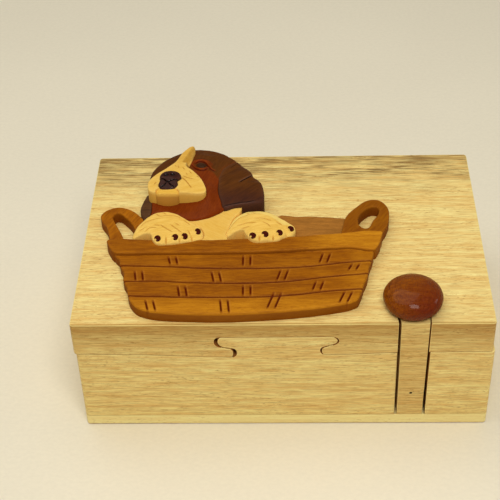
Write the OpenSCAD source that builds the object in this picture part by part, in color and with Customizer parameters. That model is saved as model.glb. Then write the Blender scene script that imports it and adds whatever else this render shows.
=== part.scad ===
// Wooden puzzle box with a sliding lid, a locking key and a carved relief of a puppy in a basket.
// Millimetres. Origin at the middle of the underside, +X right, +Y back, +Z up.

/* [Box] */
// Width of the base
box_w = 184; // [160:1:240]
// Depth of the box
box_d = 122; // [118:1:160]
// Height of the box without its relief
box_h = 63; // [60:0.5:80]
// Radius of the upright corners
corner_r = 1.6; // [0.5:0.1:6]
// Thickness of the bottom board
bottom_t = 5.6; // [3:0.1:9]
// Thickness of the front wall, which holds the key
front_wall = 22; // [20:0.5:30]
// Thickness of the back wall
back_wall = 13; // [8:0.5:20]
// Thickness of the two end walls
end_wall = 13; // [8:0.5:20]
// Radius of the corners of the hollow
hollow_r = 10; // [2:0.5:16]
// How far the lid stands to the left of the base, taken up from the play in the saw cut
lid_shift = 0.9; // [0:0.1:1.2]

/* [Saw cut between lid and base] */
// Height of the cut at the ends of the box
seam_z = 45.2; // [40:0.1:48]
// Height of the top of the tongue that locks the lid sideways
tongue_top_z = 55.2; // [53:0.1:56]
// Width of the tongue across its head
tongue_w = 52.4; // [40:0.2:60]
// Middle of the tongue, across the box
tongue_x = -2.9; // [-8:0.1:4]
// Width of the saw cut beside the tongue
saw_gap_side = 1.05; // [0.8:0.05:1.4]
// Width of the saw cut above and below the tongue's shoulders
saw_gap_up = 0.33; // [0.2:0.01:0.6]
// How far the lid leans against the right side of the tongue
saw_play = 0.45; // [0:0.05:0.5]
// Height that the lid rides above the base
ride_gap = 0.15; // [0.1:0.05:0.3]

/* [Key] */
// Middle of the key, across the box
key_x = 56.6; // [45:0.1:66]
// Width of the key's face at the top
key_top_w = 12.2; // [9:0.1:16]
// Width of the key's face at the foot
key_foot_w = 11.4; // [8:0.1:16]
// Depth of the key from face to back
key_d = 17; // [12:0.5:17.5]
// How much wider the key's back is than its face, on each side
key_flare = 1.0; // [0.4:0.1:1.6]
// Gap between the key and the lid, on each side
key_side_gap = 0.8; // [0.3:0.05:1.1]
// How far the key's slot in the lid stands to the left of the key
key_slot_left = 0.3; // [0:0.05:0.4]
// Gap between the key's back edges and the base, on each side
key_base_gap = 0.1; // [0.05:0.05:0.4]
// Gap between the back of the key and its channel
key_back_gap = 0.5; // [0.2:0.05:0.8]
// Gap between the key's foot and the bottom board
key_foot_gap = 0.3; // [0.1:0.05:0.6]
// How far the key is lifted before the lid is free
key_travel = 40; // [39.5:0.5:42]
// Diameter of the brad through the key
pin_d = 1.5; // [1:0.1:2]
// Height of the brad
pin_z = 19.7; // [16:0.1:22]
// How far the brad stands out behind the key
pin_out = 1.6; // [1:0.1:2]
// Gap around the brad in its groove
pin_gap = 0.4; // [0.2:0.05:0.8]

/* [Knob] */
// Diameter of the knob
knob_d = 26.4; // [20:0.1:30]
// Full height of the bead before its underside is trimmed
knob_h = 14.4; // [12:0.1:18]
// How much of the bead's height is trimmed off flat
knob_trim = 2.6; // [0.5:0.1:3]
// How far the knob stands to the left of the key's middle
knob_left = 0.6; // [-1:0.1:1]
// Distance from the key's face to the middle of the knob
knob_in = 12; // [8:0.5:13]
// Diameter of the dowel that joins knob and key
dowel_d = 5; // [3:0.5:6]
// How far the dowel reaches into the key
dowel_down = 14; // [8:1:24]
// How far the dowel reaches into the knob
dowel_up = 9; // [5:0.5:10]
// Glue gap around the dowel
dowel_gap = 0.05; // [0.02:0.01:0.1]

/* [Lining] */
// Thickness of the felt on the floor of the hollow
felt_t = 0.9; // [0.5:0.1:2]
// Gap between the felt and the walls
felt_gap = 0.6; // [0.3:0.1:2]

/* [Relief] */
// Width of the relief, from the left handle to the right one
relief_w = 135.5; // [110:0.5:140]
// Middle of the relief, across the lid
relief_x = -18.4; // [-22:0.1:0]
// Middle of the relief, from front to back
relief_y = -2.5; // [-2.5:0.1:2]
// Thickness of the basket
basket_t = 5.4; // [3:0.1:8]
// Thickness of the basket's rim
rim_t = 6.7; // [4:0.1:9]
// Thickness of the basket's handles
handle_t = 5.8; // [3:0.1:8]
// Thickness of the back wall of the basket, seen over its rim
inside_t = 3; // [2:0.1:5]
// Thickness of the puppy's chest
chest_t = 6.6; // [4:0.1:9]
// Thickness of the paws at their highest
paw_t = 9.6; // [7:0.1:12]
// Thickness of the face at its highest
face_t = 11; // [8:0.1:13]
// Thickness of the big ear at its highest
ear_t = 11.4; // [8:0.1:13]
// Thickness of the far ear
far_ear_t = 7.6; // [5:0.1:10]
// Thickness of the muzzle at its highest
muzzle_t = 15.2; // [11:0.1:17]
// Thickness of the chin
chin_t = 14.7; // [9:0.1:15]
// Thickness of the nose at its highest
nose_t = 17.2; // [14:0.1:20]
// How far the eye stands out of the face
eye_out = 0.4; // [0.1:0.1:1]
// How far the claws stand out of the paws
claw_out = 0.3; // [0.1:0.1:1]
// Depth of the sockets of eye and claws
socket_depth = 4; // [2:0.5:5]

/* [Hidden] */

// Colours
pale_wood = [0.87, 0.74, 0.48];
basket_wood = [0.66, 0.42, 0.10];
cream_wood = [0.88, 0.72, 0.38];
red_wood = [0.40, 0.15, 0.06];
dark_wood = [0.26, 0.16, 0.09];
inside_wood = [0.36, 0.22, 0.16];
nose_wood = [0.12, 0.07, 0.08];
eye_wood = [0.12, 0.08, 0.06];
claw_wood = [0.22, 0.06, 0.04];
brad_steel = [0.35, 0.25, 0.18];
felt_red = [0.30, 0.10, 0.12];

// Working values
far = 400;
smooth = 96;
dome_smooth = 180;
front_y = -box_d / 2;
back_y = box_d / 2;
hollow_front_y = front_y + front_wall;
hollow_back_y = back_y - back_wall;
hollow_half_w = box_w / 2 - end_wall;
key_foot_z = bottom_t + key_foot_gap;
knob_x = key_x - knob_left;
knob_y = front_y + knob_in;
// The curves of the relief are drawn at this width and scaled to relief_w
drawn_w = 135.5;
relief_scale = relief_w / drawn_w;

// ---- Curves ----------------------------------------------------------------------------

// A smooth curve from b to c, with a and d as the points before and after
function blend(a, b, c, d, t) =
    let (
        span = norm(c - b),
        leave = (c - a) * span / norm(c - a),
        arrive = (d - b) * span / norm(d - b),
        t2 = t * t,
        t3 = t2 * t
    )
    b * (2 * t3 - 3 * t2 + 1) + leave * (t3 - 2 * t2 + t) + c * (3 * t2 - 2 * t3) + arrive * (t3 - t2);

// A closed smooth curve through the points p, with n steps between neighbours
function loop_curve(p, n = 3) =
    let (count = len(p))
    [for (i = [0:count - 1]) for (j = [0:n - 1])
        blend(p[(i + count - 1) % count], p[i], p[(i + 1) % count], p[(i + 2) % count], j / n)];

// An open smooth curve through the points p
function open_curve(p, n = 4) =
    let (last = len(p) - 1)
    concat(
        [for (i = [0:last - 1]) for (j = [0:n - 1])
            blend(p[max(i - 1, 0)], p[i], p[i + 1], p[min(i + 2, last)], j / n)],
        [p[last]]);

// Direction square to an open curve at point i, to its left
function side_of(p, i) =
    let (run = p[min(i + 1, len(p) - 1)] - p[max(i - 1, 0)])
    [-run[1], run[0]] / norm(run);

// An ellipse with half-axes a and b, turned by angle
function ellipse(middle, a, b, angle = 0, steps = 20) =
    [for (i = [0:steps - 1])
        let (t = 360 * i / steps, x = a * cos(t), y = b * sin(t))
        middle + [x * cos(angle) - y * sin(angle), x * sin(angle) + y * cos(angle)]];

// ---- Saw cut ---------------------------------------------------------------------------

// The tongue's left half, from its shoulder up to its top: across from the head's side, and up as a
// share of the way from the cut to the tongue's top
tongue_left = [
    [2.5, -0.20], [6.4, -0.20], [8.0, -0.04], [8.1, 0.17], [7.1, 0.31], [4.4, 0.38], [1.7, 0.46], [0.3, 0.61],
    [0, 0.81], [0.8, 0.97]
];
tongue_right = [
    [1.4, 0.98], [0, 0.80], [1.2, 0.60], [4.6, 0.47], [7.2, 0.33], [7.3, 0.08], [5.6, -0.07], [1.0, -0.08]
];
// The hand-sawn line outside the tongue, left and right of it, and the tongue's flat top: the first number
// runs across from the box's end or the tongue's side, the second up from the cut or from the tongue's top
end_left = [[-6, 0.3], [2, 0.2]];
run_left = [[-30, -0.5], [-7, -1.7]];
run_right = [[8, -0.6], [26, 0.2]];
end_right = [[-5, 0.5], [6, 0.5]];
tongue_flat = 4.5;
tongue_rise = tongue_top_z - seam_z;
tongue_x0 = tongue_x - tongue_w / 2;
tongue_x1 = tongue_x + tongue_w / 2;

// The top of the base, from left to right: a hand-sawn line with a tongue in it
function seam_points() = concat(
    [for (q = end_left) [-box_w / 2, seam_z] + q],
    [for (q = run_left) [tongue_x0, seam_z] + q],
    [for (q = tongue_left) [tongue_x0 + q[0], seam_z + q[1] * tongue_rise]],
    [[tongue_x0 + tongue_flat, tongue_top_z], [tongue_x, tongue_top_z], [tongue_x1 - tongue_flat, tongue_top_z]],
    [for (q = tongue_right) [tongue_x1 - q[0], seam_z + q[1] * tongue_rise]],
    [for (q = run_right) [tongue_x1, seam_z] + q],
    [for (q = end_right) [box_w / 2, seam_z] + q]);
function base_top() = open_curve(seam_points());

// The underside of the lid: the same line moved off by the width of the cut, and let down onto the base
function lid_under() =
    let (p = base_top())
    [for (i = [0:len(p) - 1])
        let (n = side_of(p, i))
        p[i] + [n[0] * saw_gap_side - saw_play, n[1] * saw_gap_up - saw_gap_up + ride_gap]];

// ---- Box -------------------------------------------------------------------------------

module rounded_plan(w, d, r) {
    square([w - 2 * r, d], center = true);
    square([w, d - 2 * r], center = true);
    for (x = [-1, 1]) {
        for (y = [-1, 1]) {
            translate([x * (w / 2 - r), y * (d / 2 - r)]) circle(r, $fn = smooth);
        }
    }
}

// Extrudes a front view through the whole depth of the box
module through_depth() {
    translate([0, back_y + 1, 0]) rotate([90, 0, 0]) linear_extrude(box_d + 2) children();
}

module box_prism(z0, z1) {
    translate([0, 0, z0]) linear_extrude(z1 - z0) rounded_plan(box_w, box_d, corner_r);
}

module hollow_plan(gap = 0) {
    translate([0, (hollow_front_y + hollow_back_y) / 2])
        rounded_plan(2 * (hollow_half_w - gap), hollow_back_y - hollow_front_y - 2 * gap, hollow_r);
}

module base_block() {
    color(pale_wood) difference() {
        intersection() {
            box_prism(bottom_t, box_h);
            through_depth() polygon(concat(base_top(), [[box_w, seam_z], [box_w, 0], [-box_w, 0], [-box_w, seam_z]]));
        }
        linear_extrude(box_h) hollow_plan();
        base_key_channel();
        pin_groove();
    }
}

module bottom_board() {
    color(pale_wood) box_prism(0, bottom_t);
}

module felt_lining() {
    color(felt_red) translate([0, 0, bottom_t]) linear_extrude(felt_t) hollow_plan(felt_gap);
}

module lid_panel() {
    color(pale_wood) difference() {
        intersection() {
            translate([-lid_shift, 0, 0]) box_prism(seam_z / 2, box_h);
            through_depth() polygon(concat(lid_under(), [
                [box_w, seam_z + 1], [box_w, 2 * box_h], [-box_w, 2 * box_h], [-box_w, seam_z + 1]
            ]));
        }
        translate([-key_slot_left, 0, 0]) key_form(key_side_gap, key_back_gap, box_h + 1);
        pin_groove();
    }
}

// ---- Key -------------------------------------------------------------------------------

key_taper = atan((key_top_w - key_foot_w) / 2 / (box_h - key_foot_z));
key_flare_angle = atan(key_flare / key_d);

// The key's tapered dovetail, grown by a gap at the sides and at the back
module key_form(side_gap, back_gap, z1) {
    depth = key_d + back_gap;
    intersection() {
        translate([key_x - key_top_w, front_y, key_foot_z]) cube([2 * key_top_w, depth, z1 - key_foot_z]);
        key_side(side_gap, 1);
        key_side(side_gap, -1);
    }
}

// Everything on the inner side of one flank of the key
module key_side(side_gap, s) {
    translate([key_x + s * (key_top_w / 2 + side_gap), front_y, box_h])
        rotate([0, s * key_taper, 0]) rotate([0, 0, -s * key_flare_angle])
            translate([s > 0 ? -far / 4 : 0, -far / 8, -far / 2]) cube([far / 4, far / 2, far]);
}

// The channel in the base keeps one width from front to back, so that the lid can carry the key off forward
module base_key_channel() {
    foot_half = key_foot_w / 2 + key_flare + key_base_gap;
    top_half = key_top_w / 2 + key_flare + key_base_gap;
    translate([key_x, front_y + key_d + key_back_gap, 0]) rotate([90, 0, 0]) linear_extrude(far) polygon([
        [-foot_half, 0], [foot_half, 0], [foot_half, key_foot_z], [top_half, box_h], [-top_half, box_h],
        [-foot_half, key_foot_z]
    ]);
}

// The groove that the end of the brad runs in, from its place at rest up to its stop inside the lid
module pin_groove() {
    half = pin_d / 2 + pin_gap;
    translate([key_x - half, front_y + key_d - 1, pin_z - half])
        cube([2 * half, 1 + pin_out + pin_gap, key_travel + 2 * half]);
}

module key_bar() {
    color(pale_wood) difference() {
        key_form(0, 0, box_h);
        translate([key_x, front_y - 1, pin_z]) rotate([-90, 0, 0]) cylinder(d = pin_d, h = key_d + 2, $fn = smooth);
        translate([knob_x, knob_y, box_h - dowel_down])
            cylinder(d = dowel_d + 2 * dowel_gap, h = dowel_down + 1, $fn = smooth);
    }
}

module key_pin() {
    color(brad_steel) translate([key_x, front_y, pin_z]) rotate([-90, 0, 0])
        cylinder(d = pin_d, h = key_d + pin_out, $fn = smooth);
}

module key_knob() {
    half = knob_h / 2;
    flat_angle = asin((knob_trim - half) / half);
    steps = 20;
    color(red_wood) translate([knob_x, knob_y, box_h]) difference() {
        translate([0, 0, half - knob_trim]) rotate_extrude($fn = smooth) polygon(concat(
            [[0, knob_trim - half]],
            [for (i = [0:steps])
                let (t = flat_angle + (90 - flat_angle) * i / steps)
                [i == steps ? 0 : knob_d / 2 * cos(t), half * sin(t)]]
        ));
        translate([0, 0, -1]) cylinder(d = dowel_d + 2 * dowel_gap, h = dowel_up + 1, $fn = smooth);
    }
}

module knob_dowel() {
    color(pale_wood) translate([knob_x, knob_y, box_h - dowel_down])
        cylinder(d = dowel_d, h = dowel_down + dowel_up, $fn = smooth);
}

// ---- Outlines of the relief ------------------------------------------------------------
// All are seen from above and measured from the middle of the relief.

rim_line = [
    [-62.1, -8.3], [-41.6, -9.0], [-16.6, -9.3], [3.4, -8.5], [23.4, -7.3], [43.4, -5.3], [62.9, -3.8],
    [62.7, -8.5], [60.9, -14.0], [58.9, -16.5], [48.4, -14.9], [33.4, -15.7], [13.4, -17.3], [-11.6, -17.9],
    [-36.6, -17.7], [-55.6, -18.0], [-58.6, -17.0], [-60.9, -13.5]
];
body_line = [
    [-58.4, -13.5], [-58.2, -17.5], [-55.9, -20.8], [-55.2, -24.5], [-53.0, -29.5], [-52.8, -34.5],
    [-50.8, -39.0], [-49.6, -45.0], [-47.6, -49.5], [-44.1, -53.0], [-36.6, -55.5], [-21.6, -56.7],
    [-5.6, -57.0], [13.4, -55.8], [28.4, -54.1], [43.4, -51.2], [49.9, -48.5], [51.9, -44.5], [53.4, -39.0],
    [55.4, -33.0], [56.4, -27.0], [58.2, -21.0], [58.9, -16.0], [57.0, -11.5]
];
handle_left_line = [
    [-59.8, -9.0], [-63.8, 1.5], [-67.6, 9.0], [-66.1, 13.3], [-61.4, 16.1], [-57.1, 15.9], [-52.1, 13.0],
    [-47.6, 7.5], [-46.0, 2.0], [-46.5, -4.0], [-52.0, -9.5]
];
handle_left_hole = [
    [-61.4, 7.5], [-61.6, 10.3], [-59.6, 12.0], [-56.4, 9.5], [-52.6, 4.5], [-49.9, -1.0], [-46.0, -4.5],
    [-44.5, -9.0], [-48.0, -12.5], [-53.5, -9.5], [-57.1, -2.0]
];
handle_right_line = [
    [46.2, -7.5], [46.2, 3.5], [47.6, 8.3], [50.9, 13.3], [55.9, 18.5], [59.8, 20.4], [63.7, 19.7],
    [66.6, 15.9], [67.6, 11.0], [66.7, 3.5], [63.9, -3.5], [60.9, -7.5]
];
handle_right_hole = [
    [52.9, 3.1], [53.4, 8.1], [56.8, 13.0], [59.8, 15.0], [62.7, 14.0], [62.3, 9.1], [59.8, 5.1],
    [57.8, 0.2], [55.9, -0.8], [53.9, 0.7]
];
inside_line = [
    [15.4, 11.7], [23.4, 11.8], [33.4, 11.5], [43.4, 10.3], [49.4, 8.0], [48.4, -8.5], [13.4, -11.0]
];
paw_left_line = [
    [-51.1, -7.0], [-50.6, -2.5], [-48.1, 3.0], [-43.1, 8.5], [-37.6, 10.2], [-32.1, 7.9], [-26.6, 3.9],
    [-22.1, 0.7], [-18.9, -3.5], [-18.6, -7.0], [-21.1, -9.3], [-25.6, -11.0], [-29.6, -12.1], [-35.1, -12.8],
    [-39.1, -12.8], [-41.6, -10.0], [-42.9, -6.3], [-46.1, -5.5], [-48.6, -6.3]
];
paw_right_line = [
    [-7.9, -6.1], [-7.1, -1.0], [-4.6, 6.4], [-0.4, 9.9], [5.2, 10.9], [12.0, 9.0], [18.9, 4.3], [22.9, 0.2],
    [23.8, -3.5], [22.4, -6.3], [17.9, -9.0], [15.9, -10.5], [11.4, -11.2], [5.9, -11.7], [2.9, -10.0],
    [0.6, -6.0], [-0.6, -3.7], [-4.1, -4.8]
];
head_line = [
    [-44.0, 18.5], [-43.6, 24.0], [-45.6, 30.0], [-46.1, 36.5], [-44.4, 42.2], [-41.7, 46.7], [-37.6, 51.0],
    [-33.3, 54.2], [-29.1, 56.6], [-24.6, 57.8], [-18.6, 57.0], [-12.6, 54.5], [-8.1, 51.0], [-3.9, 46.0],
    [-2.0, 38.0], [-4.0, 26.0], [-6.0, 14.5], [-12.6, 9.0], [-17.1, 6.0], [-22.1, 4.6], [-26.6, 4.4],
    [-34.6, 4.2], [-43.6, 7.0], [-44.6, 12.5]
];
ear_right_line = [
    [-4.0, 46.0], [-1.6, 43.5], [0.9, 40.0], [3.2, 36.0], [3.8, 33.5], [5.9, 31.8], [7.9, 27.5], [8.9, 22.5],
    [9.2, 17.5], [8.2, 14.6], [5.6, 13.8], [0.8, 12.7], [-4.2, 11.9], [-9.3, 10.6], [-11.1, 15.5],
    [-12.6, 21.0], [-12.8, 27.0], [-12.4, 33.0], [-10.6, 39.5], [-6.9, 44.0]
];
ear_left_line = [
    [-46.6, 25.5], [-47.6, 22.0], [-48.6, 17.5], [-49.1, 13.0], [-48.1, 8.5], [-46.1, 6.5], [-44.1, 9.5],
    [-43.9, 14.5], [-44.2, 19.5], [-44.9, 24.5]
];
muzzle_line = [
    [-25.1, 54.0], [-25.8, 48.5], [-26.8, 43.0], [-28.5, 37.2], [-25.1, 32.9], [-21.6, 27.8], [-19.2, 22.5],
    [-18.0, 17.5], [-19.7, 15.7], [-25.1, 15.5], [-30.6, 16.0], [-41.1, 16.3], [-44.8, 18.0], [-45.8, 23.2],
    [-44.9, 26.4], [-42.2, 30.2], [-39.2, 33.3], [-36.2, 36.6], [-33.6, 40.3], [-32.1, 44.4], [-30.9, 48.0],
    [-29.0, 51.5], [-27.0, 54.3]
];
chin_line = [
    [-41.5, 18.5], [-40.1, 19.8], [-36.6, 20.0], [-33.4, 19.8], [-30.9, 17.7], [-30.9, 15.8], [-33.2, 15.1],
    [-36.0, 14.8], [-39.0, 15.1], [-41.4, 16.2]
];
nose_line = [
    [-35.4, 30.5], [-32.0, 29.5], [-30.2, 27.0], [-30.8, 25.1], [-31.8, 23.7], [-31.5, 21.5], [-32.9, 19.4],
    [-36.1, 18.5], [-39.2, 19.1], [-40.7, 21.5], [-39.9, 24.3], [-40.3, 26.7], [-38.6, 29.5]
];
chest_line = [
    [-26.6, -10.5], [-26.6, 5.5], [-14.6, 9.0], [-7.6, 14.0], [-1.8, 14.0], [-1.6, 10.5], [-5.6, 2.5],
    [-7.6, -5.5], [-8.1, -10.5]
];
brow_side = [[-50, 26], [-50, 60], [-30, 60], [-31, 44], [-42, 26]];
eye_middle = [-21.6, 42.8];
eye_size = [2.9, 2.2];
eye_turn = -15;
claw_size = [1.45, 2.0];
claw_turn = 8;
claws_left_at = [[-39.1, -9.7], [-31.2, -9.0], [-27.0, -8.3], [-21.3, -3.9]];
claws_right_at = [[4.3, -8.6], [9.9, -7.8], [16.4, -6.2], [21.5, -2.4]];

// ---- Relief ----------------------------------------------------------------------------

// Highest points of the domed pieces, how much they fall away, and over what distance
face_crown = [-22, 34];
face_fall = [2.2, 26];
ear_crown = [-2, 26];
ear_fall = [2.8, 20];
far_ear_crown = [-44, 15];
far_ear_fall = [1.2, 10];
muzzle_crown = [-31.6, 28.5];
muzzle_fall = [1.9, 22];
nose_crown = [-35.4, 26];
nose_fall = [1.6, 6.5];
paw_left_crown = [-35, -1];
paw_right_crown = [7.5, 0];
paw_fall = [3.2, 17];

function relief_place(p) = [relief_x + p[0] * relief_scale, relief_y + p[1] * relief_scale];

// Places a relief outline on the lid
module on_lid() {
    translate([relief_x, relief_y]) scale(relief_scale) children();
}

module outline(line) {
    polygon(loop_curve(line));
}

// A flat-topped piece standing on the lid
module flat_piece(t) {
    translate([0, 0, box_h]) linear_extrude(t) on_lid() children();
}

// A ball whose top lies t above the lid and which has fallen away by fall[0] at a distance of fall[1]
module dome(t, crown, fall) {
    reach = fall[1] * relief_scale;
    r = (reach * reach + fall[0] * fall[0]) / (2 * fall[0]);
    translate(concat(relief_place(crown), [box_h + t - r])) sphere(r, $fn = dome_smooth);
}

// A piece standing on the lid with a domed top
module domed_piece(t, crown, fall) {
    intersection() {
        flat_piece(t + 1) children();
        dome(t, crown, fall);
    }
}

// Upright sockets from socket_depth under the height t
module sockets(t) {
    translate([0, 0, box_h + t - socket_depth]) linear_extrude(far) on_lid() children();
}

module claw_plan(places) {
    for (at = places) {
        polygon(ellipse(at, claw_size[0], claw_size[1], claw_turn));
    }
}

module eye_plan() {
    polygon(ellipse(eye_middle, eye_size[0], eye_size[1], eye_turn));
}

module basket_body() {
    color(basket_wood) flat_piece(basket_t) difference() {
        outline(body_line);
        outline(rim_line);
    }
}

module basket_rim() {
    color(basket_wood) flat_piece(rim_t) difference() {
        outline(rim_line);
        outline(paw_left_line);
        outline(paw_right_line);
    }
}

module basket_handle_left() {
    color(basket_wood) flat_piece(handle_t) difference() {
        outline(handle_left_line);
        outline(handle_left_hole);
        outline(rim_line);
        outline(paw_left_line);
        outline(ear_left_line);
        outline(head_line);
    }
}

module basket_handle_right() {
    color(basket_wood) flat_piece(handle_t) difference() {
        outline(handle_right_line);
        outline(handle_right_hole);
        outline(rim_line);
    }
}

module basket_inside() {
    color(inside_wood) flat_piece(inside_t) difference() {
        outline(inside_line);
        outline(handle_right_line);
        outline(rim_line);
        outline(paw_right_line);
    }
}

module puppy_face() {
    color(red_wood) difference() {
        domed_piece(face_t, face_crown, face_fall) difference() {
            outline(head_line);
            outline(ear_right_line);
            outline(ear_left_line);
            outline(muzzle_line);
            outline(chin_line);
            outline(paw_left_line);
            polygon(brow_side);
        }
        sockets(face_t) eye_plan();
    }
}

module puppy_brow_left() {
    color(dark_wood) domed_piece(face_t, face_crown, face_fall) difference() {
        intersection() {
            outline(head_line);
            polygon(brow_side);
        }
        outline(muzzle_line);
    }
}

module puppy_ear_right() {
    color(dark_wood) domed_piece(ear_t, ear_crown, ear_fall) difference() {
        outline(ear_right_line);
        outline(paw_right_line);
    }
}

module puppy_ear_left() {
    color(dark_wood) domed_piece(far_ear_t, far_ear_crown, far_ear_fall) difference() {
        outline(ear_left_line);
        outline(muzzle_line);
        outline(paw_left_line);
    }
}

module puppy_muzzle() {
    color(cream_wood) domed_piece(muzzle_t, muzzle_crown, muzzle_fall) difference() {
        outline(muzzle_line);
        outline(chin_line);
        outline(nose_line);
    }
}

module puppy_chin() {
    color(cream_wood) flat_piece(chin_t) difference() {
        outline(chin_line);
        outline(nose_line);
    }
}

module puppy_nose() {
    color(nose_wood) domed_piece(nose_t, nose_crown, nose_fall) outline(nose_line);
}

module puppy_eye() {
    color(eye_wood) intersection() {
        sockets(face_t) eye_plan();
        dome(face_t + eye_out, face_crown, face_fall);
    }
}

module puppy_chest() {
    color(cream_wood) flat_piece(chest_t) difference() {
        outline(chest_line);
        outline(head_line);
        outline(ear_right_line);
        outline(paw_left_line);
        outline(paw_right_line);
        outline(rim_line);
    }
}

module puppy_paw_left() {
    color(cream_wood) difference() {
        domed_piece(paw_t, paw_left_crown, paw_fall) outline(paw_left_line);
        sockets(paw_t) claw_plan(claws_left_at);
    }
}

module puppy_paw_right() {
    color(cream_wood) difference() {
        domed_piece(paw_t, paw_right_crown, paw_fall) outline(paw_right_line);
        sockets(paw_t) claw_plan(claws_right_at);
    }
}

module claws_left() {
    color(claw_wood) intersection() {
        sockets(paw_t) claw_plan(claws_left_at);
        dome(paw_t + claw_out, paw_left_crown, paw_fall);
    }
}

module claws_right() {
    color(claw_wood) intersection() {
        sockets(paw_t) claw_plan(claws_right_at);
        dome(paw_t + claw_out, paw_right_crown, paw_fall);
    }
}

base_block();
bottom_board();
felt_lining();
lid_panel();
basket_body();
basket_rim();
basket_handle_left();
basket_handle_right();
basket_inside();
puppy_face();
puppy_brow_left();
puppy_ear_right();
puppy_ear_left();
puppy_muzzle();
puppy_chin();
puppy_nose();
puppy_eye();
puppy_chest();
puppy_paw_left();
puppy_paw_right();
claws_left();
claws_right();
key_bar();
key_knob();
key_pin();
knob_dowel();
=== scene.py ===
"""Finished look of a sawn wooden puzzle box with a puppy in a basket carved on its lid.

Lengths in this file are millimetres unless a name ends in _m. The settings in the sidebar hold their
lengths in metres. Places are measured on the box itself: x to the right and y to the back from the middle
of the box, z up from its underside.
"""

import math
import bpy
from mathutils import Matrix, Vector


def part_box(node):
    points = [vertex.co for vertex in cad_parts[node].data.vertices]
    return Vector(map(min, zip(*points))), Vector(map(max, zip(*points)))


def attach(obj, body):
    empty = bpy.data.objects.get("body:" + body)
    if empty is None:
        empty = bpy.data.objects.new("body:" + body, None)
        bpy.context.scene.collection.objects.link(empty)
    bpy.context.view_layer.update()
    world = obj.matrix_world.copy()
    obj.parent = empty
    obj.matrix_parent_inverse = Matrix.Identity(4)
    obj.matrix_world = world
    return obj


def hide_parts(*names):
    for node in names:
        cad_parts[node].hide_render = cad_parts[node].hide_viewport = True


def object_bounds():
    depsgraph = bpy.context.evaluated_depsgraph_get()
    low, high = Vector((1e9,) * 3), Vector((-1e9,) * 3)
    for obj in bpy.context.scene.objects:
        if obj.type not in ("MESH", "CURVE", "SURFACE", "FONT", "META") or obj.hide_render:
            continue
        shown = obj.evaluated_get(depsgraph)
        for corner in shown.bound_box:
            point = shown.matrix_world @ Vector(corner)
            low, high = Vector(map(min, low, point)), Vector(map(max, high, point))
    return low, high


bl_info = {
    "name": "Carved Puzzle Box",
    "version": (1, 0, 0),
    "blender": (4, 5, 0),
    "location": "View3D > Sidebar > Puzzle Box",
    "description": "Wood grain, a carved relief, a turned knob and a felt lining for a sawn puzzle box",
    "category": "Object",
}

import bmesh
import bpy
import numpy as np
from mathutils import Matrix, Vector, noise
from mathutils.geometry import delaunay_2d_cdt

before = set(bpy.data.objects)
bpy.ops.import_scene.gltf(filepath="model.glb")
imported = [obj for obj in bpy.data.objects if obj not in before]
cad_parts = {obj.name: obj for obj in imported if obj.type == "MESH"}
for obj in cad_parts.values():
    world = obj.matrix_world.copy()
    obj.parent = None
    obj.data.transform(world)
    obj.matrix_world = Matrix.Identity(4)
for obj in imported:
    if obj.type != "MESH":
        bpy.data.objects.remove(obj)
cad_bounds = [list(corner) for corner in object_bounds()]

MM = 0.001
RELIEF_NODES = [
    "basket_body", "basket_rim", "basket_handle_left", "basket_handle_right", "basket_inside",
    "puppy_face", "puppy_brow_left", "puppy_ear_right", "puppy_ear_left", "puppy_muzzle",
    "puppy_chin", "puppy_nose", "puppy_chest", "puppy_paw_left", "puppy_paw_right",
]


def corners(node):
    """Lowest and highest corner of a CAD node, in millimetres."""
    low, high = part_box(node)
    return np.array(low) / MM, np.array(high) / MM


LID_Z = float(corners("lid_panel")[1][2])
TOP_Z = cad_bounds[1][2] / MM
FRONT_Y = float(corners("lid_panel")[0][1])


def thickness(node):
    """How far a relief piece stands above the lid."""
    return float(corners(node)[1][2]) - LID_Z


def paint(red, green, blue):
    """A colour given as on a paint card, from 0 to 255, made linear."""
    return tuple(((c / 255 + 0.055) / 1.055) ** 2.4 for c in (red, green, blue)) + (1.0,)


# ---- Carved lines, few points each, drawn on the lid ---------------------------------------------

STRAND_JOINTS = [
    [(-78, -27.2), (-72, -27.5), (-50, -28.5), (-35, -29.7), (-15, -30), (5, -29.5), (20, -27.7),
     (28, -26.3), (44, -25.0)],
    [(-76, -37.9), (-70, -38), (-55, -38), (-40, -39.2), (-20, -39.8), (0, -39), (20, -35.9), (36, -34),
     (42, -33.6)],
    [(-74, -47), (-66, -47.5), (-50, -48.3), (-30, -48.8), (-10, -48.7), (5, -47.5), (20, -45.2),
     (38, -43.6)],
]
# Each stroke of the weave: top end and bottom end of its left line; its right line lies STROKE_GAP away
STROKES = [
    [(-52.2, -21.5), (-51.0, -27.0)], [(-18.3, -21.3), (-18.3, -28.0)], [(17.7, -20.2), (15.9, -26.6)],
    [(-66.6, -31.4), (-65.6, -37.6)], [(-32.2, -32.2), (-30.9, -39.2)], [(-1.3, -31.2), (-3.1, -38.0)],
    [(30.6, -27.4), (28.6, -31.8)],
    [(-46.7, -41.5), (-45.5, -48.4)], [(-17.9, -41.2), (-17.8, -47.8)], [(14.2, -39.0), (12.5, -44.8)],
    [(-60.3, -50.4), (-58.6, -57.2)], [(-27.7, -50.4), (-26.8, -58.6)], [(-4.4, -46.4), (-7.2, -56.2)],
    [(26.6, -45.7), (23.9, -52.8)],
]
STROKE_GAP = 3.3

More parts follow.
